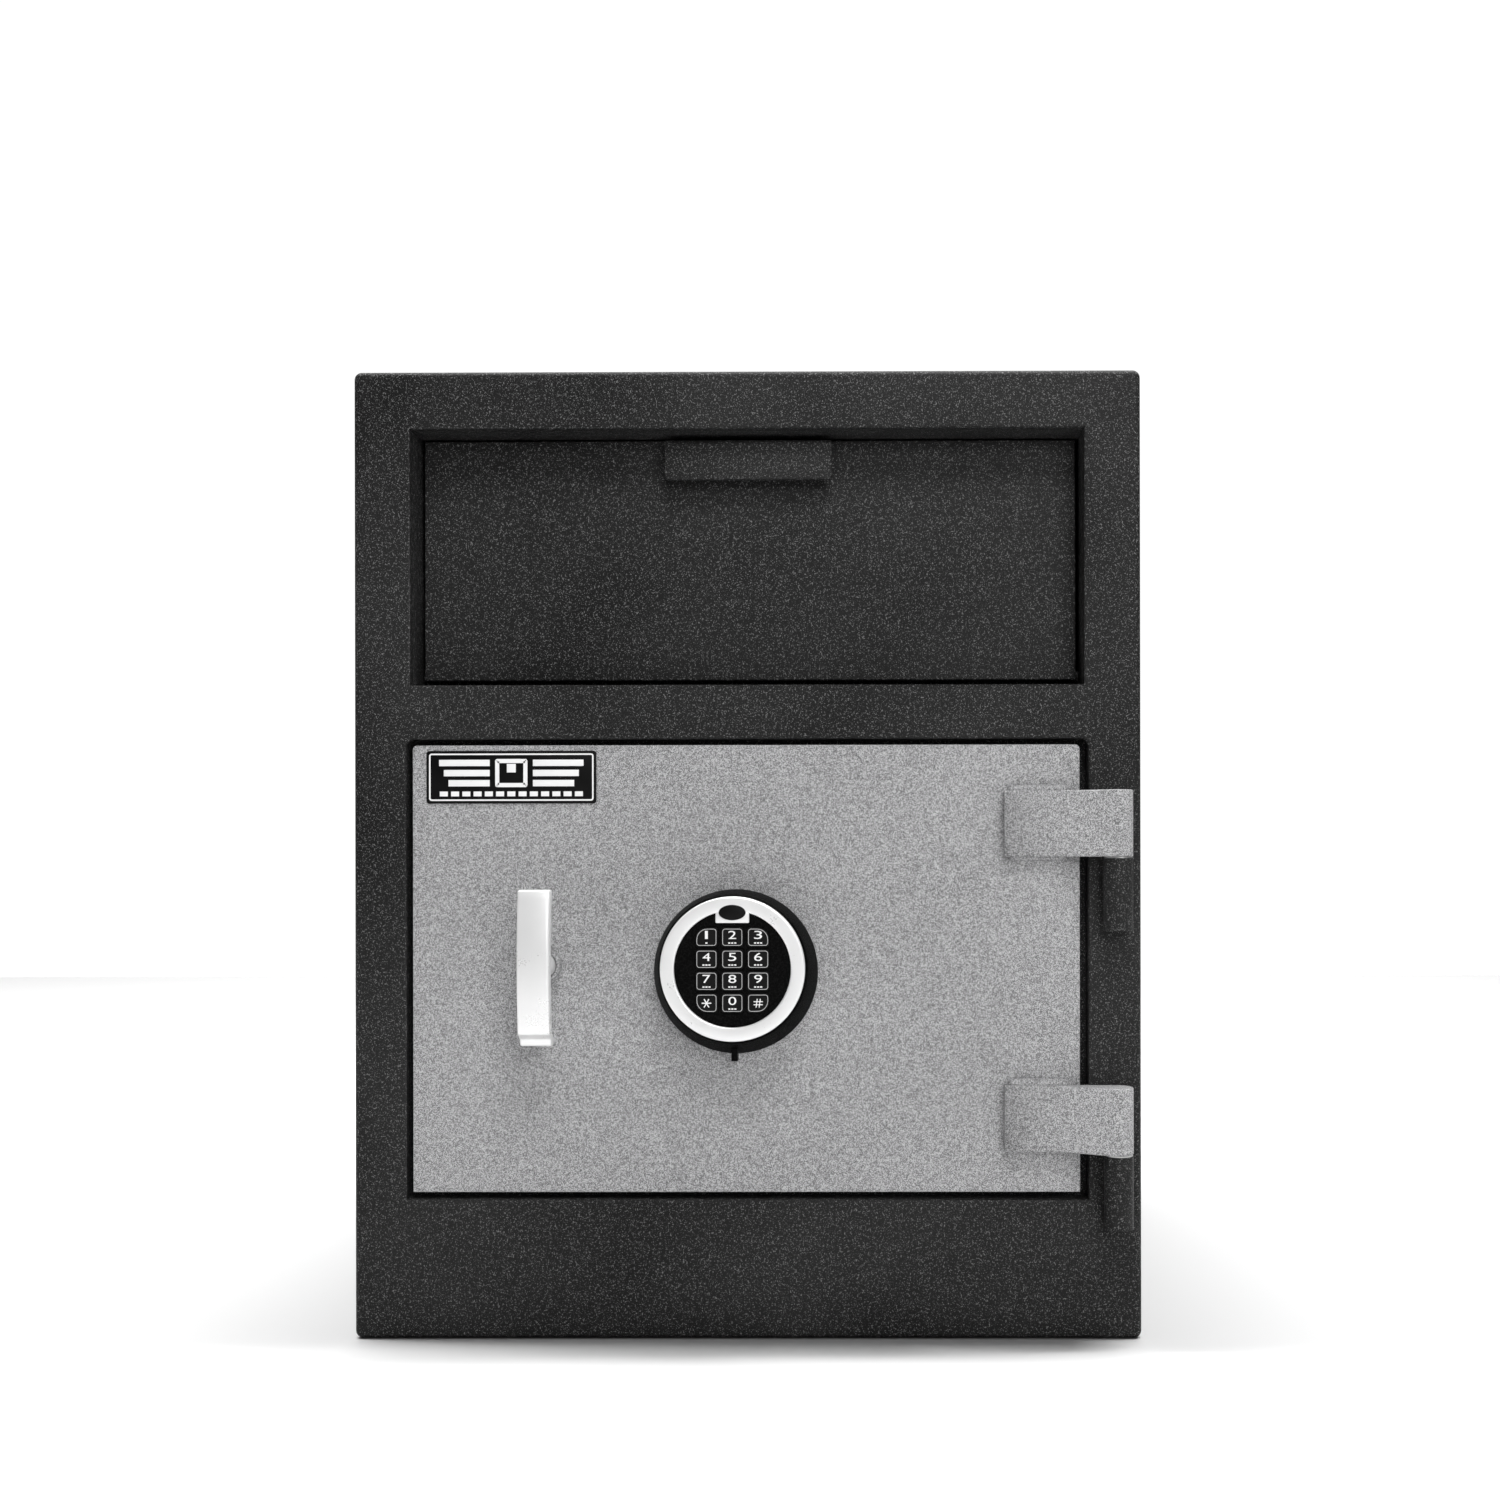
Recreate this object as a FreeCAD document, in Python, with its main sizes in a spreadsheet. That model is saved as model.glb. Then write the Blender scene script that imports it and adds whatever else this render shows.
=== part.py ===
import FreeCAD, Part
import Sketcher
import math
import os
import re

# A front-loading drop safe: a steel cabinet with a tip-out hopper above a hinged, keypad-locked
# door. Millimetres. Z is up, the front faces -Y, and the origin is the middle of the base.

# The driving sizes: name, millimetres (or degrees), what it is.
SIZES = [
    # cabinet
    ("width", 419, "outside width"),
    ("height", 515.2, "outside height"),
    ("depth", 406, "outside depth"),
    ("wall", 4, "thickness of the wrap and the back"),
    ("corner", 4, "outside bend radius of the wrap"),
    ("face_sheet", 6, "thickness of the front frame"),
    ("face_round", 3.2, "rounding of the front's outer edge"),
    ("opening_round", 1.2, "rounding of the openings' front edges"),
    ("back_inset", 2, "back panel in from the wrap's end"),
    ("anchor_bore", 14, "anchor hole in the floor"),
    ("anchor_span_x", 280, "anchor holes, left to right"),
    ("anchor_span_y", 240, "anchor holes, front to back"),
    # layout of the front
    ("top_rail", 30.8, "front above the hopper opening"),
    ("hopper_height", 136.4, "hopper opening"),
    ("middle_rail", 28.8, "front between the two openings"),
    ("bottom_rail", 74, "front below the door opening"),
    ("hopper_side_rail", 30, "front beside the hopper opening"),
    ("door_side_rail", 28, "front beside the door opening"),
    ("door_opening_corner", 4.5, "radius of the door opening's top corners"),
    # hopper
    ("collar_sheet", 3, "sheet of the collar behind the hopper opening"),
    ("collar_depth", 34, "depth of the collar"),
    ("sill_return", 9, "depth of the collar's bottom"),
    ("hopper_recess", 20, "front of the hopper panel behind the front"),
    ("panel_sheet", 4, "hopper panel"),
    ("panel_side_gap", 2, "hopper panel to the collar"),
    ("panel_top_gap", 1, "hopper panel to the collar's top"),
    ("panel_sill_gap", 4.5, "hopper panel above the sill"),
    ("pivot_setback", 6, "pivot behind the panel"),
    ("pivot_rise", 6.5, "pivot above the sill"),
    ("pivot_radius", 4, "pivot rod"),
    ("running_gap", 0.08, "radial clearance of a shaft in its hole"),
    ("cheek_sheet", 2, "hopper cheeks and tray"),
    ("cheek_radius", 126, "cheeks' arc about the pivot"),
    ("cheek_boss", 9, "cheek material below the pivot"),
    ("tray_slope", 20, "tray's fall to the rear, degrees"),
    ("tray_lift", 5.5, "tray's underside from the pivot's centre"),
    ("buffer_size", 10, "rubber buffers"),
    ("buffer_inset", 22, "buffers in from the collar's sides"),
    ("working_gap", 0.5, "working clearance"),
    ("pull_width", 90, "pull tab"),
    ("pull_height", 22, "pull tab"),
    ("pull_reach", 10, "pull tab out from the panel"),
    ("pull_sheet", 2.5, "pull tab"),
    ("pull_top", 1.8, "pull tab below the panel's top edge"),
    ("pull_corner", 2, "pull tab's lower corners"),
    ("divider_sheet", 2.5, "divider between hopper and vault"),
    ("divider_drop", 17.5, "divider below the sill"),
    ("divider_flat", 48, "level part of the divider"),
    ("divider_run", 82, "sloping part of the divider, front to back"),
    ("baffle_gap", 5, "baffle outside the cheeks' arc"),
    ("baffle_sheet", 2, "baffle"),
    ("baffle_low", 34.5, "baffle's lower edge, degrees above level"),
    ("baffle_high", 66, "end of the baffle's arc, degrees above level"),
    ("baffle_lip", 9, "stop lip at the baffle's lower edge"),
    # door
    ("door_sheet", 10, "door plate"),
    ("door_recess", 1.5, "door face behind the front"),
    ("door_gap_left", 3, "gap at the door's free edge"),
    ("door_gap_right", 4.5, "gap at the hinge edge"),
    ("door_gap_top", 3.2, "gap above the door"),
    ("door_gap_bottom", 3.8, "gap below the door"),
    ("door_corner", 2.5, "radius of the door's top corners"),
    ("jamb_gap", 1, "door's back to the jamb"),
    ("jamb_lip", 9.5, "jamb's stop inside the opening"),
    ("jamb_sheet", 6, "jamb's stop"),
    ("jamb_flange", 6.5, "jamb around the opening"),
    ("pan_inset_left", 15.5, "pan in from the door's free edge"),
    ("pan_inset_right", 22, "pan in from the door's hinge edge"),
    ("pan_inset_low", 14.5, "pan up from the door's bottom"),
    ("pan_inset_high", 14.5, "pan down from the door's top"),
    ("pan_depth", 39.5, "pan behind the door plate"),
    ("pan_sheet", 2, "pan and its cover"),
    ("post_size", 12, "pan's corner posts"),
    ("screw_radius", 2.5, "cover screws"),
    ("screw_head_radius", 4.6, "cover screws' heads"),
    ("screw_head", 2.4, "cover screws' heads, thickness"),
    ("plate_width", 90.5, "name plate"),
    ("plate_height", 28, "name plate"),
    ("plate_sheet", 0.8, "name plate"),
    ("plate_inset_x", 7.7, "name plate from the door's free edge"),
    ("plate_inset_z", 3, "name plate from the door's top"),
    ("plate_corner", 1.5, "name plate's corners"),
    # hinges
    ("barrel_radius", 7.75, "hinge barrels"),
    ("barrel_inset", 13.8, "pin in from the cabinet's side"),
    ("barrel_standoff", 1.25, "barrels in front of the front"),
    ("barrel_length", 38.2, "fixed barrel"),
    ("strap_height", 35, "hinge strap on the door"),
    ("strap_inset_top", 24.8, "upper strap below the door's top"),
    ("strap_inset_bottom", 22.4, "lower strap above the door's bottom"),
    ("strap_reach", 40.5, "strap's end in from the door's hinge edge"),
    ("strap_flat", 28, "strap's flat pad"),
    ("strap_sheet", 6.5, "strap's pad"),
    ("hinge_pin_radius", 4, "hinge pins"),
    ("hinge_cap", 4, "strap's metal above the pin"),
    ("washer_sheet", 0.8, "hinge washers"),
    # handle and boltwork
    ("handle_inset", 71.4, "handle from the door's free edge"),
    ("handle_rise", 121.3, "handle and lock above the door's bottom"),
    ("handle_length", 80.8, "handle bar"),
    ("handle_width", 15.2, "handle bar"),
    ("handle_thick", 8, "handle bar"),
    ("handle_round", 1.4, "handle bar's long edges"),
    ("handle_taper", 1.5, "bar's back shorter than its front at each end"),
    ("handle_reach", 33, "handle bar's front out from the door"),
    ("handle_bow", 3.5, "handle bar's bow over its length"),
    ("hub_radius", 8.5, "handle's hub and bush"),
    ("bush_proud", 6, "bush out from the door face"),
    ("spindle_radius", 6, "handle spindle"),
    ("spindle_length", 19, "spindle behind the door plate"),
    ("cam_sheet", 5, "bolt cam"),
    ("cam_setback", 10.5, "cam behind the door plate"),
    ("cam_radius", 40, "bolt cam"),
    ("cam_hub", 7, "bolt cam's metal around the spindle"),
    ("cam_margin", 17, "cam beyond the slot's ends, degrees"),
    ("clip_rim", 3, "spindle clip beyond the spindle"),
    ("clip_sheet", 1.2, "spindle clip"),
    ("clip_groove", 1, "depth of the clip's groove"),
    ("clip_clearance", 1, "cam follower to the clip, bolts in"),
    ("bolt_throw", 18, "travel of the locking bolts"),
    ("follower_radius", 4, "cam follower"),
    ("carriage_sheet", 4, "bolt carriage"),
    ("carriage_setback", 21.5, "carriage behind the door plate"),
    ("carriage_height", 158, "bolt carriage"),
    ("carriage_width", 59, "bolt carriage"),
    ("ear_height", 24, "carriage's ears"),
    ("bolt_radius", 7, "locking bolts"),
    ("bolt_setback", 14.5, "locking bolts behind the door plate"),
    ("bolt_spacing", 128, "between the locking bolts"),
    ("bolt_free", 23, "locking bolt beyond the carriage"),
    ("guide_radius", 4, "carriage guide studs"),
    ("guide_spacing", 98, "between the guide studs"),
    ("guide_head", 7, "guide studs' heads"),
    ("guide_head_sheet", 3, "guide studs' heads, thickness"),
    ("guide_setback", 16, "guide studs from the carriage's ears, bolts in"),
    # lock
    ("lock_width", 85, "lock body"),
    ("lock_height", 61, "lock body"),
    ("lock_depth", 25, "lock body"),
    ("lock_left", 35.1, "lock body's left end from the handle's centre"),
    ("hard_sheet", 4, "hard plate"),
    ("hard_margin", 5, "hard plate around the lock body"),
    ("lock_bolt_width", 13, "lock bolt"),
    ("lock_bolt_thick", 8, "lock bolt"),
    ("lock_bolt_out", 9.5, "lock bolt beyond the body at rest"),
    ("lock_travel", 13, "lock bolt's travel"),
    ("cable_radius", 2.5, "keypad cable"),
    ("cable_gap", 1.5, "cable to its hole in the door"),
    ("lead_rise", 4, "lead's hole above the battery drawer"),
    ("dead_bar_size", 12, "fixed bar at the hinge edge"),
    # keypad
    ("keypad_from_handle", 101.1, "keypad's centre from the handle's"),
    ("keypad_drop", 3.7, "housing's centre below the handle's"),
    ("keypad_radius", 44, "housing at the door"),
    ("keypad_depth", 18, "housing, without the ring"),
    ("keypad_top_radius", 38.6, "housing at the ring"),
    ("keypad_raise", 2.7, "ring's centre above the housing's"),
    ("base_sheet", 1.5, "keypad base plate"),
    ("ring_radius", 37.65, "chrome ring"),
    ("ring_bore", 30.3, "chrome ring"),
    ("ring_depth", 4, "chrome ring"),
    ("ring_round", 1.6, "chrome ring's front edges"),
    ("ring_tab_width", 17.5, "ring's tab"),
    ("ring_tab_height", 23.9, "ring's tab, lower edge above the centre"),
    ("badge_width", 14, "oval badge"),
    ("badge_height", 8, "oval badge"),
    ("badge_sheet", 0.5, "oval badge"),
    ("badge_rise", 29.4, "oval badge above the centre"),
    ("face_plate", 1.6, "keypad face"),
    ("face_inset", 1.3, "keypad face behind the ring's front"),
    ("key_width", 11.4, "keys"),
    ("key_height", 9.9, "keys"),
    ("key_space_x", 2, "between the keys, left to right"),
    ("key_space_z", 1.5, "between the keys, up and down"),
    ("key_proud", 0.7, "keys out from the face"),
    ("key_gap", 0.3, "key to face"),
    ("key_flange", 0.5, "key's flange beyond the key"),
    ("key_flange_sheet", 1.1, "key's flange, thickness"),
    ("key_round", 0.35, "keys' front edges"),
    ("key_travel", 0.8, "travel of a key"),
    ("key_corner", 1.2, "keys' corners"),
    ("outer_key_corner", 5.6, "the corner keys' outer corners"),
    ("key_drop", 0.5, "middle of the keys below the ring's centre"),
    ("board_sheet", 1.2, "circuit board"),
    ("drawer_width", 46, "battery drawer"),
    ("drawer_height", 55, "battery drawer above the housing's foot"),
    ("drawer_depth", 11.8, "battery drawer"),
    ("drawer_gap", 0.4, "battery drawer to the base plate"),
    ("cell_radius", 5.25, "battery cells"),
    ("cell_length", 42, "battery cells"),
    ("cell_space", 0.5, "between the cells"),
    ("cell_gap", 0.1, "cell to its bay"),
    ("nub_width", 3.2, "drawer's pull"),
    ("nub_drop", 2.4, "drawer's pull below the housing"),
    ("nub_inset_front", 3, "drawer's pull behind the drawer's front"),
    ("nub_inset_back", 2, "drawer's pull in front of the drawer's back"),
    ("nub_root", 6, "drawer's pull up inside the drawer"),
]

# Named places, worked out from the sizes. Each is an expression in the sheet's names.
FRONT = "(-depth / 2)"
FRAME_BACK = f"({FRONT} + face_sheet)"
BACK = "(depth / 2)"
SIDE = "(width / 2)"
INNER_SIDE = "(width / 2 - wall)"
HOPPER_HEAD = "(height - top_rail)"
SILL = f"({HOPPER_HEAD} - hopper_height)"
HOPPER_SIDE = "(width / 2 - hopper_side_rail)"
PANEL_FRONT = f"({FRONT} + hopper_recess)"
PANEL_BACK = f"({PANEL_FRONT} + panel_sheet)"
PANEL_SIDE = f"({HOPPER_SIDE} - panel_side_gap)"
PANEL_LOW = f"({SILL} + panel_sill_gap)"
PANEL_TOP = f"({HOPPER_HEAD} - panel_top_gap)"
PIVOT_Y = f"({PANEL_BACK} + pivot_setback)"
PIVOT_Z = f"({SILL} + pivot_rise)"
DIVIDER_TOP = f"({SILL} - divider_drop)"
DOOR_SIDE = "(width / 2 - door_side_rail)"
DOOR_HEAD = f"({SILL} - middle_rail)"
DOOR_LEFT = f"(-{DOOR_SIDE} + door_gap_left)"
DOOR_RIGHT = f"({DOOR_SIDE} - door_gap_right)"
DOOR_LOW = "(bottom_rail + door_gap_bottom)"
DOOR_TOP = f"({DOOR_HEAD} - door_gap_top)"
DOOR_FACE = f"({FRONT} + door_recess)"
DOOR_BACK = f"({DOOR_FACE} + door_sheet)"
JAMB_FRONT = f"({DOOR_BACK} + jamb_gap)"
JAMB_BACK = f"({JAMB_FRONT} + jamb_sheet)"
PAN_LEFT = f"({DOOR_LEFT} + pan_inset_left)"
PAN_RIGHT = f"({DOOR_RIGHT} - pan_inset_right)"
PAN_LOW = f"({DOOR_LOW} + pan_inset_low)"
PAN_TOP = f"({DOOR_TOP} - pan_inset_high)"
PAN_BACK = f"({DOOR_BACK} + pan_depth)"
PIN_X = f"({SIDE} - barrel_inset)"
PIN_Y = f"({FRONT} - barrel_standoff - barrel_radius)"
UPPER_STRAP = f"({DOOR_TOP} - strap_inset_top - strap_height)"
LOWER_STRAP = f"({DOOR_LOW} + strap_inset_bottom)"
HANDLE_X = f"({DOOR_LEFT} + handle_inset)"
HANDLE_Z = f"({DOOR_LOW} + handle_rise)"
BAR_FRONT = f"({DOOR_FACE} - handle_reach)"
CAM_FRONT = f"({DOOR_BACK} + cam_setback)"
CAM_START = "(spindle_radius + clip_rim + clip_clearance + follower_radius)"
WEB_FRONT = f"({DOOR_BACK} + carriage_setback)"
BOLT_Y = f"({DOOR_BACK} + bolt_setback)"
BOLT_TIP = f"({PAN_LEFT} - 1)"
EAR_X = f"({BOLT_TIP} + bolt_free)"
WEB_RIGHT = f"({EAR_X} + carriage_width)"
LOCK_LEFT = f"({HANDLE_X} + lock_left)"
LOCK_FRONT = f"({DOOR_BACK} + hard_sheet)"
KEYPAD_X = f"({HANDLE_X} + keypad_from_handle)"
HOUSING_Z = f"({HANDLE_Z} - keypad_drop)"
RING_Z = f"({HOUSING_Z} + keypad_raise)"
KEYS_Z = f"({RING_Z} - key_drop)"
HOUSING_FRONT = f"({DOOR_FACE} - keypad_depth)"
RING_FRONT = f"({HOUSING_FRONT} - ring_depth)"
FACE_FRONT = f"({RING_FRONT} + face_inset)"
FACE_BACK = f"({FACE_FRONT} + face_plate)"
KEY_BACK = f"({FACE_BACK} + key_gap + key_flange_sheet)"
BOARD_FRONT = f"({KEY_BACK} + key_travel + key_gap)"
BOARD_BACK = f"({BOARD_FRONT} + board_sheet)"
DRAWER_BACK = f"({DOOR_FACE} - base_sheet - drawer_gap)"
DRAWER_FRONT = f"({DRAWER_BACK} - drawer_depth)"
DRAWER_LOW = f"({HOUSING_Z} - keypad_radius)"
DRAWER_TOP = f"({DRAWER_LOW} + drawer_height)"

doc = FreeCAD.newDocument("DropSafe")
sheet = doc.addObject("Spreadsheet::Sheet", "Sizes")
for row, (alias, number, words) in enumerate(SIZES, start=1):
    sheet.set(f"A{row}", words)
    sheet.set(f"B{row}", str(number))
    sheet.setAlias(f"B{row}", alias)
doc.recompute()
ALIASES = {alias for alias, number, words in SIZES}
SPIN = {
    "x": FreeCAD.Rotation(FreeCAD.Vector(0, 1, 0), 90),
    "y": FreeCAD.Rotation(FreeCAD.Vector(1, 0, 0), -90),
    "z": FreeCAD.Rotation(),
}
nodes = []


def expr(text):
    """Point the size names in an expression at the sheet."""
    def swap(word):
        return "Sizes." + word.group(0) if word.group(0) in ALIASES else word.group(0)
    return re.sub(r"[a-z_]+", swap, str(text))


def value(text):
    """The number that an expression comes to now."""
    return float(sheet.evalExpression(expr(text)))


def bind(piece, **sizes):
    for name, text in sizes.items():
        piece.setExpression(name, expr(text))
    return piece


def place(piece, x="0", y="0", z="0"):
    piece.setExpression("Placement.Base.x", expr(x))
    piece.setExpression("Placement.Base.y", expr(y))
    piece.setExpression("Placement.Base.z", expr(z))
    return piece


def box(name, left, right, front, back, low, high):
    """A block between three pairs of faces."""
    piece = doc.addObject("Part::Box", name)
    bind(piece, Length=f"({right}) - ({left})", Width=f"({back}) - ({front})",
         Height=f"({high}) - ({low})")
    return place(piece, left, front, low)


def bar(name, axis, radius, length, x, y, z):
    """A round bar that starts at a point and runs along an axis."""
    piece = doc.addObject("Part::Cylinder", name)
    piece.Placement.Rotation = SPIN[axis]
    bind(piece, Radius=radius, Height=length)
    return place(piece, x, y, z)


def join(name, pieces):
    piece = doc.addObject("Part::MultiFuse", name)
    piece.Shapes = pieces
    return piece


def group(name, pieces):
    """Like pieces that share one node and stay separate solids."""
    piece = doc.addObject("Part::Compound", name)
    piece.Links = pieces
    return piece


def cut(name, base, tools):
    piece = doc.addObject("Part::Cut", name)
    piece.Base = base
    piece.Tool = tools[0] if len(tools) == 1 else join(name + "_cuts", tools)
    return piece


def common(name, first, second):
    piece = doc.addObject("Part::Common", name)
    piece.Base = first
    piece.Tool = second
    return piece


def keep(piece, label):
    """Name a finished piece: its label is its node's name."""
    piece.Label = label
    nodes.append(piece)
    return piece


def add_loop(sketch, points):
    """A closed outline. A point is (across, up), or (across, up, radius, turn) where the stretch
    to the next point is an arc that turns left (1) or right (-1). Each corner is held at its
    place, and each arc at its radius, by the sheet."""
    first = len(sketch.Geometry)
    spots = [FreeCAD.Vector(value(p[0]), value(p[1]), 0) for p in points]
    lines = []
    ends = []
    for index, point in enumerate(points):
        start = spots[index]
        stop = spots[(index + 1) % len(spots)]
        if len(point) == 2:
            lines.append(Part.LineSegment(start, stop))
            ends.append((1, 2))
            continue
        radius = value(point[2])
        chord = stop - start
        reach = math.sqrt(max(radius ** 2 - (chord.Length / 2) ** 2, 0))
        left = FreeCAD.Vector(-chord.y, chord.x, 0).normalize()
        centre = (start + stop) / 2 + left * reach * point[3]
        if point[3] < 0:
            start, stop = stop, start
        begin = math.atan2(start.y - centre.y, start.x - centre.x)
        finish = math.atan2(stop.y - centre.y, stop.x - centre.x)
        circle = Part.Circle(centre, FreeCAD.Vector(0, 0, 1), radius)
        lines.append(Part.ArcOfCircle(circle, begin, finish))
        ends.append((1, 2) if point[3] > 0 else (2, 1))
    sketch.addGeometry(lines, False)
    rules = []
    sizes = []
    for index, point in enumerate(points):
        after = (index + 1) % len(points)
        rules.append(Sketcher.Constraint(
            "Coincident", first + index, ends[index][1], first + after, ends[after][0]))
        sizes += [("DistanceX", index, point[0]), ("DistanceY", index, point[1])]
        if len(point) > 2:
            sizes.append(("Radius", index, point[2]))
    for kind, index, text in sizes:
        where = (first + index,) if kind == "Radius" else (first + index, ends[index][0])
        rules.append(Sketcher.Constraint(kind, *where, value(text)))
    held = len(sketch.Constraints) + len(points)
    sketch.addConstraint(rules)
    for step, (kind, index, text) in enumerate(sizes):
        sketch.setExpression(f"Constraints[{held + step}]", expr(text))


def profile(name, plane, loops, start, length, middle=False):
    """A body padded from one sketch. The sketch lies on an origin plane, moved along its normal
    to start; middle pads it equally to both sides of that."""
    body = doc.addObject("PartDesign::Body", name)
    sketch = body.newObject("Sketcher::SketchObject", name + "_outline")
    support = [p for p in body.Origin.OriginFeatures if p.Role == plane][0]
    sketch.AttachmentSupport = [(support, "")]
    sketch.MapMode = "FlatFace"
    sketch.setExpression("AttachmentOffset.Base.z", expr(start))
    for points in loops:
        add_loop(sketch, points)
    doc.recompute()
    pad = body.newObject("PartDesign::Pad", name + "_pad")
    pad.Profile = sketch
    if middle:
        pad.SideType = "Symmetric"
    pad.setExpression("Length", expr(length))
    doc.recompute()
    return body


def rectangle(left, right, low, high):
    return [(left, low), (right, low), (right, high), (left, high)]


def rounded(left, right, low, high, radii):
    """A rectangle with its own radius at each corner: lower left, lower right, upper right,
    upper left. A radius of "0" leaves the corner sharp."""
    a, b, c, d = radii
    points = []
    if a == "0":
        points.append((left, low))
    else:
        points += [(left, f"{low} + {a}", a, 1), (f"{left} + {a}", low)]
    if b == "0":
        points.append((right, low))
    else:
        points += [(f"{right} - {b}", low, b, 1), (right, f"{low} + {b}")]
    if c == "0":
        points.append((right, high))
    else:
        points += [(right, f"{high} - {c}", c, 1), (f"{right} - {c}", high)]
    if d == "0":
        points.append((left, high))
    else:
        points += [(f"{left} + {d}", high, d, 1), (left, f"{high} - {d}")]
    return points


def round_edges(body, radius, wanted):
    """Fillet the edges of a body's last feature that pass a test on the edge."""
    doc.recompute()
    tip = body.Tip
    names = [f"Edge{i}" for i, edge in enumerate(tip.Shape.Edges, start=1) if wanted(edge)]
    if not names:
        raise RuntimeError("no edge to round on " + body.Name)
    fillet = body.newObject("PartDesign::Fillet", f"{body.Name}_round{len(body.Group)}")
    fillet.Base = (tip, names)
    fillet.setExpression("Radius", expr(radius))
    doc.recompute()
    return body


def flat_at(edge, axis, spot):
    """True if the whole edge lies at one place along an axis."""
    low = getattr(edge.BoundBox, axis + "Min")
    high = getattr(edge.BoundBox, axis + "Max")
    return abs(low - spot) < 0.01 and abs(high - spot) < 0.01


# --- Cabinet -----------------------------------------------------------------------------------

def outer_shell():
    """Sheet wrap: top, sides and floor in one fold, with the anchor holes in its floor."""
    outside = rounded(f"-{SIDE}", SIDE, "0", "height", ["corner"] * 4)
    inside = rectangle(f"-{INNER_SIDE}", INNER_SIDE, "wall", "height - wall")
    # a sketch on XZ faces -Y, so its offset and pad run forward from the back
    wrap = profile("Wrap", "XZ_Plane", [outside, inside], f"-{BACK}", f"{BACK} - {FRAME_BACK}")
    bores = []
    for side in (-1, 1):
        for end in (-1, 1):
            bores.append(bar(f"AnchorBore{len(bores)}", "z", "anchor_bore / 2", "wall + 2",
                             f"{side} * anchor_span_x / 2", f"{end} * anchor_span_y / 2", "-1"))
    keep(cut("OuterShell", wrap, bores), "outer_shell")


def front_frame():
    """Face plate, with the hopper opening above and the door opening below."""
    outside = rounded(f"-{SIDE}", SIDE, "0", "height", ["corner"] * 4)
    hopper = rectangle(f"-{HOPPER_SIDE}", HOPPER_SIDE, SILL, HOPPER_HEAD)
    door = rounded(f"-{DOOR_SIDE}", DOOR_SIDE, "bottom_rail", DOOR_HEAD,
                   ["0", "0", "door_opening_corner", "door_opening_corner"])
    body = profile("FrontFrame", "XZ_Plane", [outside, hopper, door], f"-{FRAME_BACK}",
                   "face_sheet")
    front = value(FRONT)
    side = value(SIDE)
    top = value("height")

    def on_rim(edge):
        box_of = edge.BoundBox
        reaches = (abs(box_of.XMin + side) < 0.01 or abs(box_of.XMax - side) < 0.01
                   or abs(box_of.ZMin) < 0.01 or abs(box_of.ZMax - top) < 0.01)
        return flat_at(edge, "Y", front) and reaches

    round_edges(body, "face_round", on_rim)
    round_edges(body, "opening_round",
                lambda edge: flat_at(edge, "Y", front)
                and abs(edge.CenterOfMass.x) < value(DOOR_SIDE) + 0.1
                and value("bottom_rail") - 0.1 < edge.CenterOfMass.z < value(HOPPER_HEAD) + 0.1)
    keep(body, "front_frame")


def cabinet_back():
    keep(box("BackPanel", f"-{INNER_SIDE}", INNER_SIDE, f"{BACK} - back_inset - wall",
             f"{BACK} - back_inset", "wall", "height - wall"), "back_panel")


def door_jamb():
    """Stepped frame: a flange the depth of the door, then a stop that the bolts hook behind."""
    outside = box("JambBlock", f"-{DOOR_SIDE} - jamb_flange", f"{DOOR_SIDE} + jamb_flange",
                  FRAME_BACK, JAMB_BACK, "bottom_rail - jamb_flange",
                  f"{DOOR_HEAD} + jamb_flange")
    rebate = box("JambRebate", f"-{DOOR_SIDE}", DOOR_SIDE, f"{FRAME_BACK} - 1", JAMB_FRONT,
                 "bottom_rail", DOOR_HEAD)
    way = box("JambWay", f"-{DOOR_SIDE} + jamb_lip", f"{DOOR_SIDE} - jamb_lip",
              f"{FRAME_BACK} - 1", f"{JAMB_BACK} + 1", "bottom_rail + jamb_lip",
              f"{DOOR_HEAD} - jamb_lip")
    keep(cut("DoorJamb", outside, [rebate, way]), "door_jamb")


def hopper_surround():
    """Collar folded in behind the hopper opening: deep at the sides and top, short at the sill."""
    outer = f"({HOPPER_SIDE} + collar_sheet)"
    back = f"({FRAME_BACK} + collar_depth)"
    block = box("CollarBlock", f"-{outer}", outer, FRAME_BACK, back, f"{SILL} - collar_sheet",
                f"{HOPPER_HEAD} + collar_sheet")
    inside = box("CollarInside", f"-{HOPPER_SIDE}", HOPPER_SIDE, f"{FRAME_BACK} - 1",
                 f"{back} + 1", SILL, HOPPER_HEAD)
    sill = box("CollarSillCut", f"-{HOPPER_SIDE}", HOPPER_SIDE, f"{FRAME_BACK} + sill_return",
               f"{back} + 1", f"{SILL} - collar_sheet - 1", f"{SILL} + 1")
    bore = bar("CollarBore", "x", "pivot_radius", f"2 * {outer} + 2", f"-{outer} - 1", PIVOT_Y,
               PIVOT_Z)
    keep(cut("HopperSurround", block, [inside, sill, bore]), "hopper_surround")
    keep(bar("PivotRod", "x", "pivot_radius", f"2 * {outer}", f"-{outer}", PIVOT_Y, PIVOT_Z),
         "hopper_pivot_rod")
    buffers = []
    for side in (-1, 1):
        middle = f"({side} * ({HOPPER_SIDE} - buffer_inset))"
        buffers.append(box(f"Buffer{len(buffers)}", f"{middle} - buffer_size",
                           f"{middle} + buffer_size", f"{PANEL_BACK} + working_gap",
                           f"{PANEL_BACK} + working_gap + buffer_size",
                           f"{HOPPER_HEAD} - buffer_size", HOPPER_HEAD))
    keep(group("Buffers", buffers), "hopper_buffers")


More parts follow.
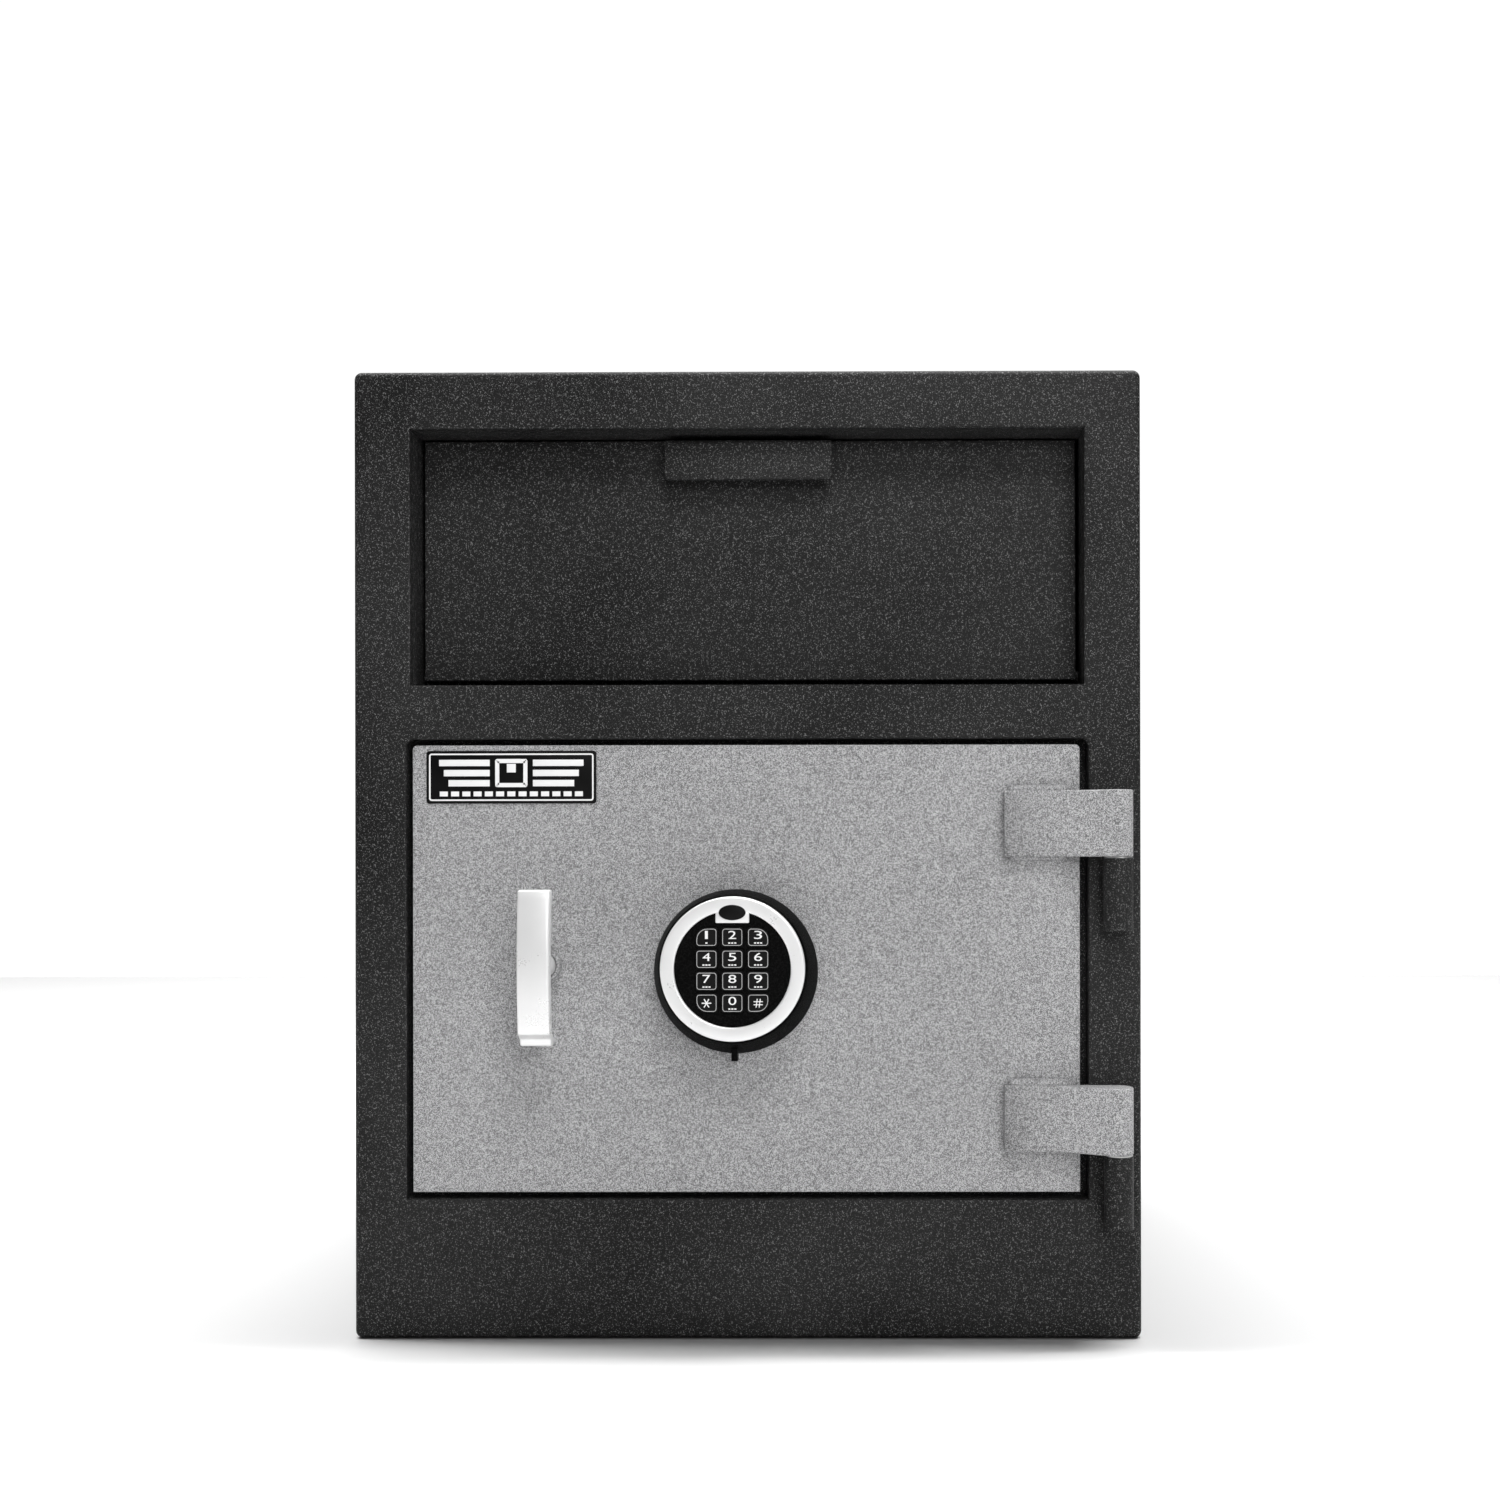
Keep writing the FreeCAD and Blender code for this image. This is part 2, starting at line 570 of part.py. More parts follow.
def divider_shelf():
    """Folded plate under the hopper: level at the front, then down to the rear like the tray."""
    knee_y = f"({FRAME_BACK} + divider_flat)"
    end_y = f"({knee_y} + divider_run)"
    fall = "(divider_run * tan(tray_slope * 1deg))"
    points = [
        (FRAME_BACK, DIVIDER_TOP),
        (FRAME_BACK, f"{DIVIDER_TOP} - divider_sheet"),
        (knee_y, f"{DIVIDER_TOP} - divider_sheet"),
        (end_y, f"{DIVIDER_TOP} - divider_sheet - {fall}"),
        (end_y, f"{DIVIDER_TOP} - {fall}"),
        (knee_y, DIVIDER_TOP),
    ]
    keep(profile("DividerShelf", "YZ_Plane", [points], "0", f"2 * {INNER_SIDE}", True),
         "divider_shelf")


def chute_baffle():
    """Curved plate about the hopper's pivot. The open tray meets its lower lip, so nothing can
    be fished out past it."""
    inner = "(cheek_radius + baffle_gap)"
    outer = f"({inner} + baffle_sheet)"

    def spot(radius, angle):
        return (f"{PIVOT_Y} + {radius} * cos({angle} * 1deg)",
                f"{PIVOT_Z} + {radius} * sin({angle} * 1deg)")

    low = "baffle_low"
    high = "baffle_high"
    lip = f"({inner} - baffle_lip)"
    lip_edge = f"({low} + baffle_sheet / {inner} * 180 / pi)"
    roof = "(height - wall)"
    points = [
        spot(lip, low),
        spot(outer, low) + (outer, 1),
        spot(outer, high),
        (spot(outer, high)[0], roof),
        (f"{spot(outer, high)[0]} - baffle_sheet", roof),
        (f"{spot(outer, high)[0]} - baffle_sheet", f"{spot(inner, high)[1]}"),
        spot(inner, high) + (inner, -1),
        spot(inner, lip_edge),
        spot(lip, lip_edge),
    ]
    plate = profile("BafflePlate", "YZ_Plane", [points], "0", f"2 * {INNER_SIDE}", True)
    # the lip is notched where the cheeks pass
    notches = []
    for side in (-1, 1):
        middle = f"({side} * ({PANEL_SIDE} - cheek_sheet / 2))"
        half = "(cheek_sheet / 2 + 1.5)"
        reach = f"({PIVOT_Y} + {inner} * cos({low} * 1deg))"
        notches.append(box(f"BaffleNotch{len(notches)}", f"{middle} - {half}",
                           f"{middle} + {half}", f"{reach} - baffle_lip - 3", f"{reach} - 0.5",
                           f"{PIVOT_Z} + {lip} * sin({low} * 1deg) - 3",
                           f"{PIVOT_Z} + {outer} * sin({low} * 1deg) + 3"))
    keep(cut("ChuteBaffle", plate, notches), "chute_baffle")


def hinge_knuckles():
    """Fixed barrels: a round barrel on a short foot that is welded to the front."""
    pins = []
    washers = []
    for name, strap_low in (("upper", UPPER_STRAP), ("lower", LOWER_STRAP)):
        top = f"({strap_low} - washer_sheet)"
        low = f"({top} - barrel_length)"
        barrel = bar(f"Barrel_{name}", "z", "barrel_radius", "barrel_length", PIN_X, PIN_Y, low)
        foot = box(f"Foot_{name}", f"{PIN_X} - barrel_radius * 0.7",
                   f"{PIN_X} + barrel_radius * 0.7", PIN_Y, FRONT, f"{low} + 1", f"{top} - 1")
        solid = join(f"Knuckle_{name}", [barrel, foot])
        bore = bar(f"KnuckleBore_{name}", "z", "hinge_pin_radius", "barrel_length", PIN_X, PIN_Y,
                   f"{low} + hinge_cap")
        keep(cut(f"HingeKnuckle_{name}", solid, [bore]), f"hinge_knuckle_{name}")
        length = "barrel_length + washer_sheet + strap_height - 2 * hinge_cap - working_gap"
        pins.append(bar(f"Pin_{name}", "z", "hinge_pin_radius", length, PIN_X, PIN_Y,
                        f"{low} + hinge_cap"))
        ring = bar(f"WasherDisc_{name}", "z", "barrel_radius - 0.4", "washer_sheet - 0.1", PIN_X,
                   PIN_Y, top)
        hole = bar(f"WasherHole_{name}", "z", "hinge_pin_radius", "washer_sheet", PIN_X, PIN_Y,
                   top)
        washers.append(cut(f"Washer_{name}", ring, [hole]))
    keep(group("HingePins", pins), "hinge_pins")
    keep(group("HingeWashers", washers), "hinge_washers")


# --- Hopper ------------------------------------------------------------------------------------

def hopper():
    body = profile("HopperPanel", "XZ_Plane",
                   [rectangle(f"-{PANEL_SIDE}", PANEL_SIDE, PANEL_LOW, PANEL_TOP)],
                   f"-{PANEL_BACK}", "panel_sheet")
    front = value(PANEL_FRONT)
    round_edges(body, "panel_sheet / 4", lambda edge: flat_at(edge, "Y", front))
    keep(body, "hopper_panel")

    # The pull: a strip bent once, its top edge welded to the panel and its lip turned down.
    top = f"({PANEL_TOP} - pull_top)"
    out = f"({PANEL_FRONT} - pull_reach)"
    bend = "(pull_sheet * 1.5)"
    points = [
        (PANEL_FRONT, top),
        (f"{out} + {bend}", top, bend, 1),
        (out, f"{top} - {bend}"),
        (out, f"{top} - pull_height"),
        (f"{out} + pull_sheet", f"{top} - pull_height"),
        (f"{out} + pull_sheet", f"{top} - pull_sheet"),
        (PANEL_FRONT, f"{top} - pull_sheet"),
    ]
    pull = profile("HopperPull", "YZ_Plane", [points], "0", "pull_width", True)
    lower = value(f"{top} - pull_height")
    round_edges(pull, "pull_corner", lambda edge: flat_at(edge, "Z", lower)
                and edge.BoundBox.YLength > 0.5 and edge.BoundBox.XLength < 0.01)
    keep(pull, "hopper_pull")

    # The tray falls to the rear. Its plane is set by its distance from the pivot.
    slope = "(tray_slope * 1deg)"
    start = f"(-pivot_setback / cos{slope} - tray_lift * tan{slope})"
    start_top = f"(-pivot_setback / cos{slope} - (tray_lift + cheek_sheet) * tan{slope})"
    reach = "(cheek_radius - 0.2)"

    def on_slope(along, lift):
        return (f"{PIVOT_Y} + {along} * cos{slope} + {lift} * sin{slope}",
                f"{PIVOT_Z} - {along} * sin{slope} + {lift} * cos{slope}")

    end_low = f"sqrt({reach}^2 - tray_lift^2)"
    tray = [
        on_slope(start, "tray_lift"),
        on_slope(end_low, "tray_lift"),
        on_slope(end_low, "(tray_lift + cheek_sheet)"),
        on_slope(start_top, "(tray_lift + cheek_sheet)"),
    ]
    keep(profile("HopperTray", "YZ_Plane", [tray], "0", f"2 * ({PANEL_SIDE} - cheek_sheet)",
                 True), "hopper_tray")

    # Each cheek is a quadrant about the pivot, so that it clears the collar's top as it turns.
    top_z = f"{PIVOT_Z} + sqrt(cheek_radius^2 - pivot_setback^2)"
    tail = "((tray_slope + 3) * 1deg)"
    cheek = [
        (PANEL_BACK, f"{PIVOT_Z} - pivot_rise + panel_sill_gap"),
        (PIVOT_Y, f"{PIVOT_Z} - cheek_boss"),
        (f"{PIVOT_Y} + cheek_radius * cos{tail}", f"{PIVOT_Z} - cheek_radius * sin{tail}",
         "cheek_radius", 1),
        (PANEL_BACK, top_z),
    ]
    for name, side in (("left", -1), ("right", 1)):
        start = f"{side} * ({PANEL_SIDE} - cheek_sheet / 2)"
        plate = profile(f"Cheek_{name}", "YZ_Plane", [cheek], start, "cheek_sheet", True)
        bore = bar(f"CheekBore_{name}", "x", "pivot_radius + running_gap", "cheek_sheet + 2",
                   f"{start} - cheek_sheet / 2 - 1", PIVOT_Y, PIVOT_Z)
        keep(cut(f"HopperCheek_{name}", plate, [bore]), f"hopper_cheek_{name}")


# --- Door --------------------------------------------------------------------------------------

def corners(inset):
    """The four corners of the pan, in by an inset."""
    for x in (f"{PAN_LEFT} + {inset}", f"{PAN_RIGHT} - {inset}"):
        for z in (f"{PAN_LOW} + {inset}", f"{PAN_TOP} - {inset}"):
            yield x, z


def door_plate():
    outline = rounded(DOOR_LEFT, DOOR_RIGHT, DOOR_LOW, DOOR_TOP,
                      ["0", "0", "door_corner", "door_corner"])
    body = profile("DoorBlank", "XZ_Plane", [outline], f"-{DOOR_BACK}", "door_sheet")
    front = value(DOOR_FACE)
    round_edges(body, "opening_round / 2", lambda edge: flat_at(edge, "Y", front))
    bush = bar("DoorBushBore", "y", "hub_radius", "door_sheet + 2", HANDLE_X, f"{DOOR_FACE} - 1",
               HANDLE_Z)
    cable = bar("DoorCableBore", "y", "cable_radius + cable_gap", "door_sheet + 2", KEYPAD_X,
                f"{DOOR_FACE} - 1", HANDLE_Z)
    keep(cut("DoorPlate", body, [bush, cable]), "door_plate")


def hinge_straps():
    """Each strap: a pad welded to the door, a rise over the gap, and a barrel on the pin."""
    end = f"({DOOR_RIGHT} - strap_reach)"
    knee = f"({end} + strap_flat)"
    over = f"({FRONT} - working_gap)"
    step = f"({DOOR_RIGHT} - 5)"
    bend = f"({PIN_Y} - barrel_radius)"
    points = [
        (end, DOOR_FACE),
        (end, f"{DOOR_FACE} - strap_sheet"),
        (knee, f"{DOOR_FACE} - strap_sheet"),
        (f"{PIN_X} - 4", bend),
        (PIN_X, bend, "barrel_radius", 1),
        (f"{PIN_X} + barrel_radius", PIN_Y, "barrel_radius", 1),
        (PIN_X, f"{PIN_Y} + barrel_radius"),
        (f"{PIN_X} - 5", f"{PIN_Y} + barrel_radius"),
        (step, over),
        (step, DOOR_FACE),
    ]
    for name, low in (("upper", UPPER_STRAP), ("lower", LOWER_STRAP)):
        body = profile(f"Strap_{name}", "XY_Plane", [points], low, "strap_height")
        rims = (value(low), value(f"{low} + strap_height"))
        face = value(DOOR_FACE)
        round_edges(body, "0.8", lambda edge: (flat_at(edge, "Z", rims[0])
                                               or flat_at(edge, "Z", rims[1]))
                    and edge.BoundBox.YMax < face - 1)
        bore = bar(f"StrapBore_{name}", "z", "hinge_pin_radius + running_gap",
                   "strap_height - hinge_cap + 1", PIN_X, PIN_Y, f"{low} - 1")
        keep(cut(f"HingeStrap_{name}", body, [bore]), f"hinge_strap_{name}")


def name_plate():
    left = f"({DOOR_LEFT} + plate_inset_x)"
    top = f"({DOOR_TOP} - plate_inset_z)"
    outline = rounded(left, f"({left} + plate_width)", f"({top} - plate_height)", top,
                      ["plate_corner"] * 4)
    keep(profile("NamePlate", "XZ_Plane", [outline], f"-{DOOR_FACE}", "plate_sheet"),
         "name_plate")


def door_pan():
    """The box behind the plate that guards the boltwork: four walls, corner posts, a cover."""
    block = box("PanBlock", PAN_LEFT, PAN_RIGHT, DOOR_BACK, PAN_BACK, PAN_LOW, PAN_TOP)
    inside = box("PanInside", f"{PAN_LEFT} + pan_sheet", f"{PAN_RIGHT} - pan_sheet",
                 f"{DOOR_BACK} - 1", f"{PAN_BACK} + 1", f"{PAN_LOW} + pan_sheet",
                 f"{PAN_TOP} - pan_sheet")
    bolt_ways = []
    for side in (-1, 1):
        bolt_ways.append(bar(f"BoltWay{len(bolt_ways)}", "x", "bolt_radius + running_gap",
                             "pan_sheet + 2", f"{PAN_LEFT} - 1", BOLT_Y,
                             f"{HANDLE_Z} + {side} * bolt_spacing / 2"))
    walls = cut("PanWalls", block, [inside] + bolt_ways)
    posts = []
    screws = []
    cover_ways = []
    post_bores = []
    middle = "(pan_sheet + post_size / 2)"
    for x, z in corners(middle):
        tag = len(posts)
        posts.append(box(f"Post{tag}", f"{x} - post_size / 2", f"{x} + post_size / 2",
                         DOOR_BACK, PAN_BACK, f"{z} - post_size / 2", f"{z} + post_size / 2"))
        post_bores.append(bar(f"PostBore{tag}", "y", "screw_radius", "14", x,
                              f"{PAN_BACK} - 13", z))
        cover_ways.append(bar(f"CoverWay{tag}", "y", "screw_radius", "pan_sheet + 2", x,
                              f"{PAN_BACK} - 1", z))
        shank = bar(f"Shank{tag}", "y", "screw_radius", "12 + pan_sheet", x, f"{PAN_BACK} - 12",
                    z)
        head = bar(f"Head{tag}", "y", "screw_head_radius", "screw_head", x,
                   f"{PAN_BACK} + pan_sheet", z)
        screws.append(join(f"CoverScrew{tag}", [shank, head]))
    keep(cut("DoorPan", join("PanSolid", [walls] + posts), post_bores), "door_pan")
    cover = box("CoverBlank", PAN_LEFT, PAN_RIGHT, PAN_BACK, f"{PAN_BACK} + pan_sheet", PAN_LOW,
                PAN_TOP)
    keep(cut("DoorBackCover", cover, cover_ways), "door_back_cover")
    keep(group("CoverScrews", screws), "cover_screws")


def dead_bar():
    """Fixed bar at the hinge edge: it stays behind the jamb if the hinges are cut off."""
    left = f"({PAN_RIGHT})"
    keep(box("DeadBar", left, f"{left} + dead_bar_size", DOOR_BACK, f"{PAN_BACK} - 4",
             f"{PAN_LOW} + 20", f"{PAN_TOP} - 20"), "dead_bar")


def lock():
    """Hard plate, lock body and its screws, stacked behind the plate; the bolt slides in it."""
    right = f"({LOCK_LEFT} + lock_width)"
    low = f"({HANDLE_Z} - lock_height / 2)"
    top = f"({HANDLE_Z} + lock_height / 2)"
    back = f"({LOCK_FRONT} + lock_depth)"
    plate = box("HardBlank", f"{LOCK_LEFT} - hard_margin", f"{right} + hard_margin", DOOR_BACK,
                LOCK_FRONT, f"{low} - hard_margin", f"{top} + hard_margin")
    cable = bar("HardCableBore", "y", "cable_radius + 1.5", "hard_sheet + 2", KEYPAD_X,
                f"{DOOR_BACK} - 1", HANDLE_Z)
    spots = [(f"({LOCK_LEFT} + 12)", f"({low} + 8)"), (f"({right} - 8)", f"({low} + 8)"),
             (f"({LOCK_LEFT} + 12)", f"({top} - 8)"), (f"({right} - 8)", f"({top} - 8)")]
    screws = []
    plate_bores = []
    body_bores = []
    for x, z in spots:
        tag = len(screws)
        plate_bores.append(bar(f"HardBore{tag}", "y", "screw_radius", "hard_sheet + 2", x,
                               f"{DOOR_BACK} - 1", z))
        body_bores.append(bar(f"LockBore{tag}", "y", "screw_radius", "lock_depth + 2", x,
                              f"{LOCK_FRONT} - 1", z))
        shank = bar(f"LockShank{tag}", "y", "screw_radius", "hard_sheet + lock_depth", x,
                    DOOR_BACK, z)
        head = bar(f"LockHead{tag}", "y", "screw_head_radius", "screw_head", x, back, z)
        screws.append(join(f"LockScrew{tag}", [shank, head]))
    keep(cut("HardPlate", plate, [cable] + plate_bores), "hard_plate")
    block = box("LockBlock", LOCK_LEFT, right, LOCK_FRONT, back, low, top)
    # the lock's bolt stands in the carriage's plane, so that it blocks the carriage's return
    bolt_front = f"({WEB_FRONT} + carriage_sheet / 2 - lock_bolt_thick / 2)"
    play = "running_gap"
    tail = "(lock_travel + 18)"
    way = box("LockWay", f"{LOCK_LEFT} - 1", f"{LOCK_LEFT} + {tail} + 1", f"{bolt_front} - {play}",
              f"{bolt_front} + lock_bolt_thick + {play}",
              f"{HANDLE_Z} - lock_bolt_width / 2 - {play}",
              f"{HANDLE_Z} + lock_bolt_width / 2 + {play}")
    keep(cut("LockBody", block, [way] + body_bores), "lock_body")
    keep(group("LockScrews", screws), "lock_screws")
    keep(box("LockBolt", f"{LOCK_LEFT} - lock_bolt_out", f"{LOCK_LEFT} + {tail}", bolt_front,
             f"{bolt_front} + lock_bolt_thick", f"{HANDLE_Z} - lock_bolt_width / 2",
             f"{HANDLE_Z} + lock_bolt_width / 2"), "lock_bolt")


# --- Handle and boltwork -----------------------------------------------------------------------

def handle():
    """A bowed bar on a round hub, square to a spindle that runs in a bush through the door."""
    low = f"({HANDLE_Z} - handle_length / 2)"
    top = f"({HANDLE_Z} + handle_length / 2)"
    ends = f"({BAR_FRONT} + handle_bow)"
    inner_ends = f"({ends} + handle_thick)"
    # the bar's two faces are arcs over its length with the same bow
    arc = "((handle_length^2 / 4 + handle_bow^2) / (2 * handle_bow))"
    points = [
        (ends, top, arc, 1),
        (ends, low),
        (inner_ends, f"{low} + handle_taper", arc, -1),
        (inner_ends, f"{top} - handle_taper"),
    ]
    body = profile("HandleArc", "YZ_Plane", [points], HANDLE_X, "handle_width", True)
    side = value("handle_width / 2")
    centre = value(HANDLE_X)
    handle_long = value("handle_length / 2")
    round_edges(body, "handle_round", lambda edge: edge.BoundBox.ZLength > handle_long
                and (flat_at(edge, "X", centre - side) or flat_at(edge, "X", centre + side)))
    hub = bar("HandleHub", "y", "hub_radius", f"handle_reach - bush_proud - working_gap - handle_thick"
              f" / 2", HANDLE_X, f"{BAR_FRONT} + handle_thick / 2", HANDLE_Z)
    keep(join("HandleBar", [body, hub]), "handle_bar")
    bush = bar("BushSolid", "y", "hub_radius", "bush_proud + door_sheet", HANDLE_X,
               f"{DOOR_FACE} - bush_proud", HANDLE_Z)
    bore = bar("BushBore", "y", "spindle_radius + running_gap", "bush_proud + door_sheet + 2",
               HANDLE_X, f"{DOOR_FACE} - bush_proud - 1", HANDLE_Z)
    keep(cut("HandleBush", bush, [bore]), "handle_bush")
    start = f"({DOOR_FACE} - bush_proud - working_gap)"
    length = f"(bush_proud + working_gap + door_sheet + spindle_length)"
    spindle = bar("SpindleSolid", "y", "spindle_radius", length, HANDLE_X, start, HANDLE_Z)
    clip_front = f"({CAM_FRONT} + cam_sheet)"
    groove = cut("SpindleGroove", bar("GrooveOut", "y", "spindle_radius + 1", "clip_sheet", HANDLE_X,
                                      clip_front, HANDLE_Z),
                 [bar("GrooveIn", "y", "spindle_radius - clip_groove", "clip_sheet", HANDLE_X,
                      clip_front, HANDLE_Z)])
    keep(cut("HandleSpindle", spindle, [groove]), "handle_spindle")
    clip = cut("ClipRing", bar("ClipOut", "y", "spindle_radius + clip_rim", "clip_sheet", HANDLE_X,
                               clip_front, HANDLE_Z),
               [bar("ClipIn", "y", "spindle_radius - clip_groove", "clip_sheet", HANDLE_X, clip_front,
                    HANDLE_Z)])
    keep(clip, "spindle_clip")


def bolt_cam():
    """Disc with a spiral slot. The slot's radius grows evenly with the angle, so the bolts move
    evenly as the handle turns a quarter. The slot is a spiral, which no sketch feature draws."""
    centre = FreeCAD.Vector(value(HANDLE_X), value(CAM_FRONT), value(HANDLE_Z))
    sheet_y = FreeCAD.Vector(0, value("cam_sheet"), 0)
    half = value("follower_radius + running_gap")
    grow = value("bolt_throw") / (math.pi / 2)

    def on_spiral(turn, offset):
        # turn 0 is towards the bolts; the normal leans because the radius grows
        radius = value(CAM_START) + grow * turn
        angle = math.pi + turn
        along = FreeCAD.Vector(math.cos(angle), 0, math.sin(angle))
        across = FreeCAD.Vector(-math.sin(angle), 0, math.cos(angle))
        normal = (along * radius - across * grow).normalize()
        return centre + along * radius + normal * offset

    turns = [math.pi / 2 * (step / 12) for step in range(13)]
    walls = []
    for offset in (half, -half):
        curve = Part.BSplineCurve()
        curve.interpolate([on_spiral(turn, offset) for turn in turns])
        walls.append(curve.toShape())
    caps = []
    for turn, sign in ((turns[0], -1), (turns[-1], 1)):
        radius = value(CAM_START) + grow * turn
        angle = math.pi + turn
        along = FreeCAD.Vector(math.cos(angle), 0, math.sin(angle))
        across = FreeCAD.Vector(-math.sin(angle), 0, math.cos(angle))
        forward = (across * radius + along * grow).normalize() * sign
        tip = on_spiral(turn, 0) + forward * half
        caps.append(Part.Arc(on_spiral(turn, half), tip, on_spiral(turn, -half)).toShape())
    wire = Part.Wire(Part.__sortEdges__(walls + caps))
    slot = Part.Face(wire).extrude(sheet_y)
    rear = FreeCAD.Vector(0, 1, 0)
    # a sector that carries the slot, on a round hub; it never turns towards the lock
    margin = math.radians(value("cam_margin"))
    rim = [centre + FreeCAD.Vector(math.cos(angle), 0, math.sin(angle)) * value("cam_radius")
           for angle in (math.pi - margin, math.pi * 1.25, math.pi * 1.5 + margin)]
    edges = [Part.Arc(*rim).toShape(), Part.LineSegment(rim[2], centre).toShape(),
             Part.LineSegment(centre, rim[0]).toShape()]
    sector = Part.Face(Part.Wire(edges)).extrude(sheet_y)
    hub = Part.makeCylinder(value("spindle_radius + cam_hub"), value("cam_sheet"), centre, rear)
    disc = sector.fuse(hub).removeSplitter()
    bore = Part.makeCylinder(value("spindle_radius"), value("cam_sheet"), centre, rear)
    cam = doc.addObject("Part::Feature", "BoltCam")
    cam.Shape = disc.cut(slot).cut(bore)
    keep(cam, "bolt_cam")


def boltwork():
    """Carriage behind the cam with an ear for each bolt, guided by two shouldered studs."""
    web_back = f"({WEB_FRONT} + carriage_sheet)"
    low = f"({HANDLE_Z} - carriage_height / 2)"
    top = f"({HANDLE_Z} + carriage_height / 2)"
    stud_x = f"({EAR_X} + guide_setback)"
    web = box("Web", EAR_X, WEB_RIGHT, WEB_FRONT, web_back, low, top)
    ears = []
    bolts = []
    bolt_bores = []
    slots = []
    studs = []
    for side in (-1, 1):
        tag = len(ears)
        bolt_z = f"({HANDLE_Z} + {side} * bolt_spacing / 2)"
        ears.append(box(f"Ear{tag}", EAR_X, f"{EAR_X} + carriage_sheet",
                        f"{BOLT_Y} - bolt_radius", WEB_FRONT, f"{bolt_z} - ear_height / 2",
                        f"{bolt_z} + ear_height / 2"))
        body = bar(f"BoltBody{tag}", "x", "bolt_radius", "bolt_free", BOLT_TIP, BOLT_Y, bolt_z)
        tail = bar(f"BoltTail{tag}", "x", "bolt_radius / 2", "carriage_sheet", EAR_X, BOLT_Y,
                   bolt_z)
        bolt_bores.append(bar(f"TailBore{tag}", "x", "bolt_radius / 2", "carriage_sheet + 2",
                              f"{EAR_X} - 1", BOLT_Y, bolt_z))
        bolts.append(join(f"Bolt{tag}", [body, tail]))
        stud_z = f"({HANDLE_Z} + {side} * guide_spacing / 2)"
        half = "(guide_radius + running_gap)"
        ends = [bar(f"SlotEnd{tag}{n}", "y", half, "carriage_sheet + 2", x, f"{WEB_FRONT} - 1",
                    stud_z)
                for n, x in enumerate((stud_x, f"{stud_x} + bolt_throw"))]
        middle = box(f"SlotMiddle{tag}", stud_x, f"{stud_x} + bolt_throw", f"{WEB_FRONT} - 1",
                     f"{web_back} + 1", f"{stud_z} - {half}", f"{stud_z} + {half}")
        slots += ends + [middle]
        shank = bar(f"Stud{tag}", "y", "guide_radius", f"carriage_setback + carriage_sheet"
                    f" + working_gap", stud_x, DOOR_BACK, stud_z)
        head = bar(f"StudHead{tag}", "y", "guide_head", "guide_head_sheet", stud_x, f"{web_back} + working_gap",
                   stud_z)
        studs.append(join(f"GuideStud{tag}", [shank, head]))
    solid = join("CarriageSolid", [web] + ears)
    follower_x = f"({HANDLE_X} - {CAM_START})"
    bore = bar("FollowerBore", "y", "follower_radius * 0.75", "carriage_sheet + 2", follower_x,
               f"{WEB_FRONT} - 1", HANDLE_Z)
    keep(cut("BoltCarriage", solid, slots + bolt_bores + [bore]), "bolt_carriage")
    keep(group("LockingBolts", bolts), "locking_bolts")
    keep(group("BoltGuides", studs), "bolt_guides")
    pin = bar("FollowerPin", "y", "follower_radius", f"{WEB_FRONT} - {CAM_FRONT}", follower_x,
              CAM_FRONT, HANDLE_Z)
    tail = bar("FollowerTail", "y", "follower_radius * 0.75", "carriage_sheet", follower_x,
               WEB_FRONT, HANDLE_Z)
    keep(join("CamFollower", [pin, tail]), "cam_follower")


# --- Keypad ------------------------------------------------------------------------------------

def envelope(name):
    """The housing's outside: round at the door and at the ring, whose centre is higher."""
    rims = []
    for part, radius, y, z in (("Foot", "keypad_radius", DOOR_FACE, HOUSING_Z),
                               ("Top", "keypad_top_radius", HOUSING_FRONT, RING_Z)):
        rim = doc.addObject("Part::Circle", name + part)
        rim.Placement.Rotation = SPIN["y"]
        bind(rim, Radius=radius)
        rims.append(place(rim, KEYPAD_X, y, z))
    loft = doc.addObject("Part::Loft", name)
    loft.Sections = rims
    loft.Solid = True
    loft.Ruled = True
    return loft


def drawer_box(name, gap):
    half = f"(drawer_width / 2 + {gap})"
    return box(name, f"{KEYPAD_X} - {half}", f"{KEYPAD_X} + {half}", f"{DRAWER_FRONT} - {gap}",
               f"{DRAWER_BACK} + {gap}", f"{DRAWER_LOW} - 6", f"{DRAWER_TOP} + {gap}")


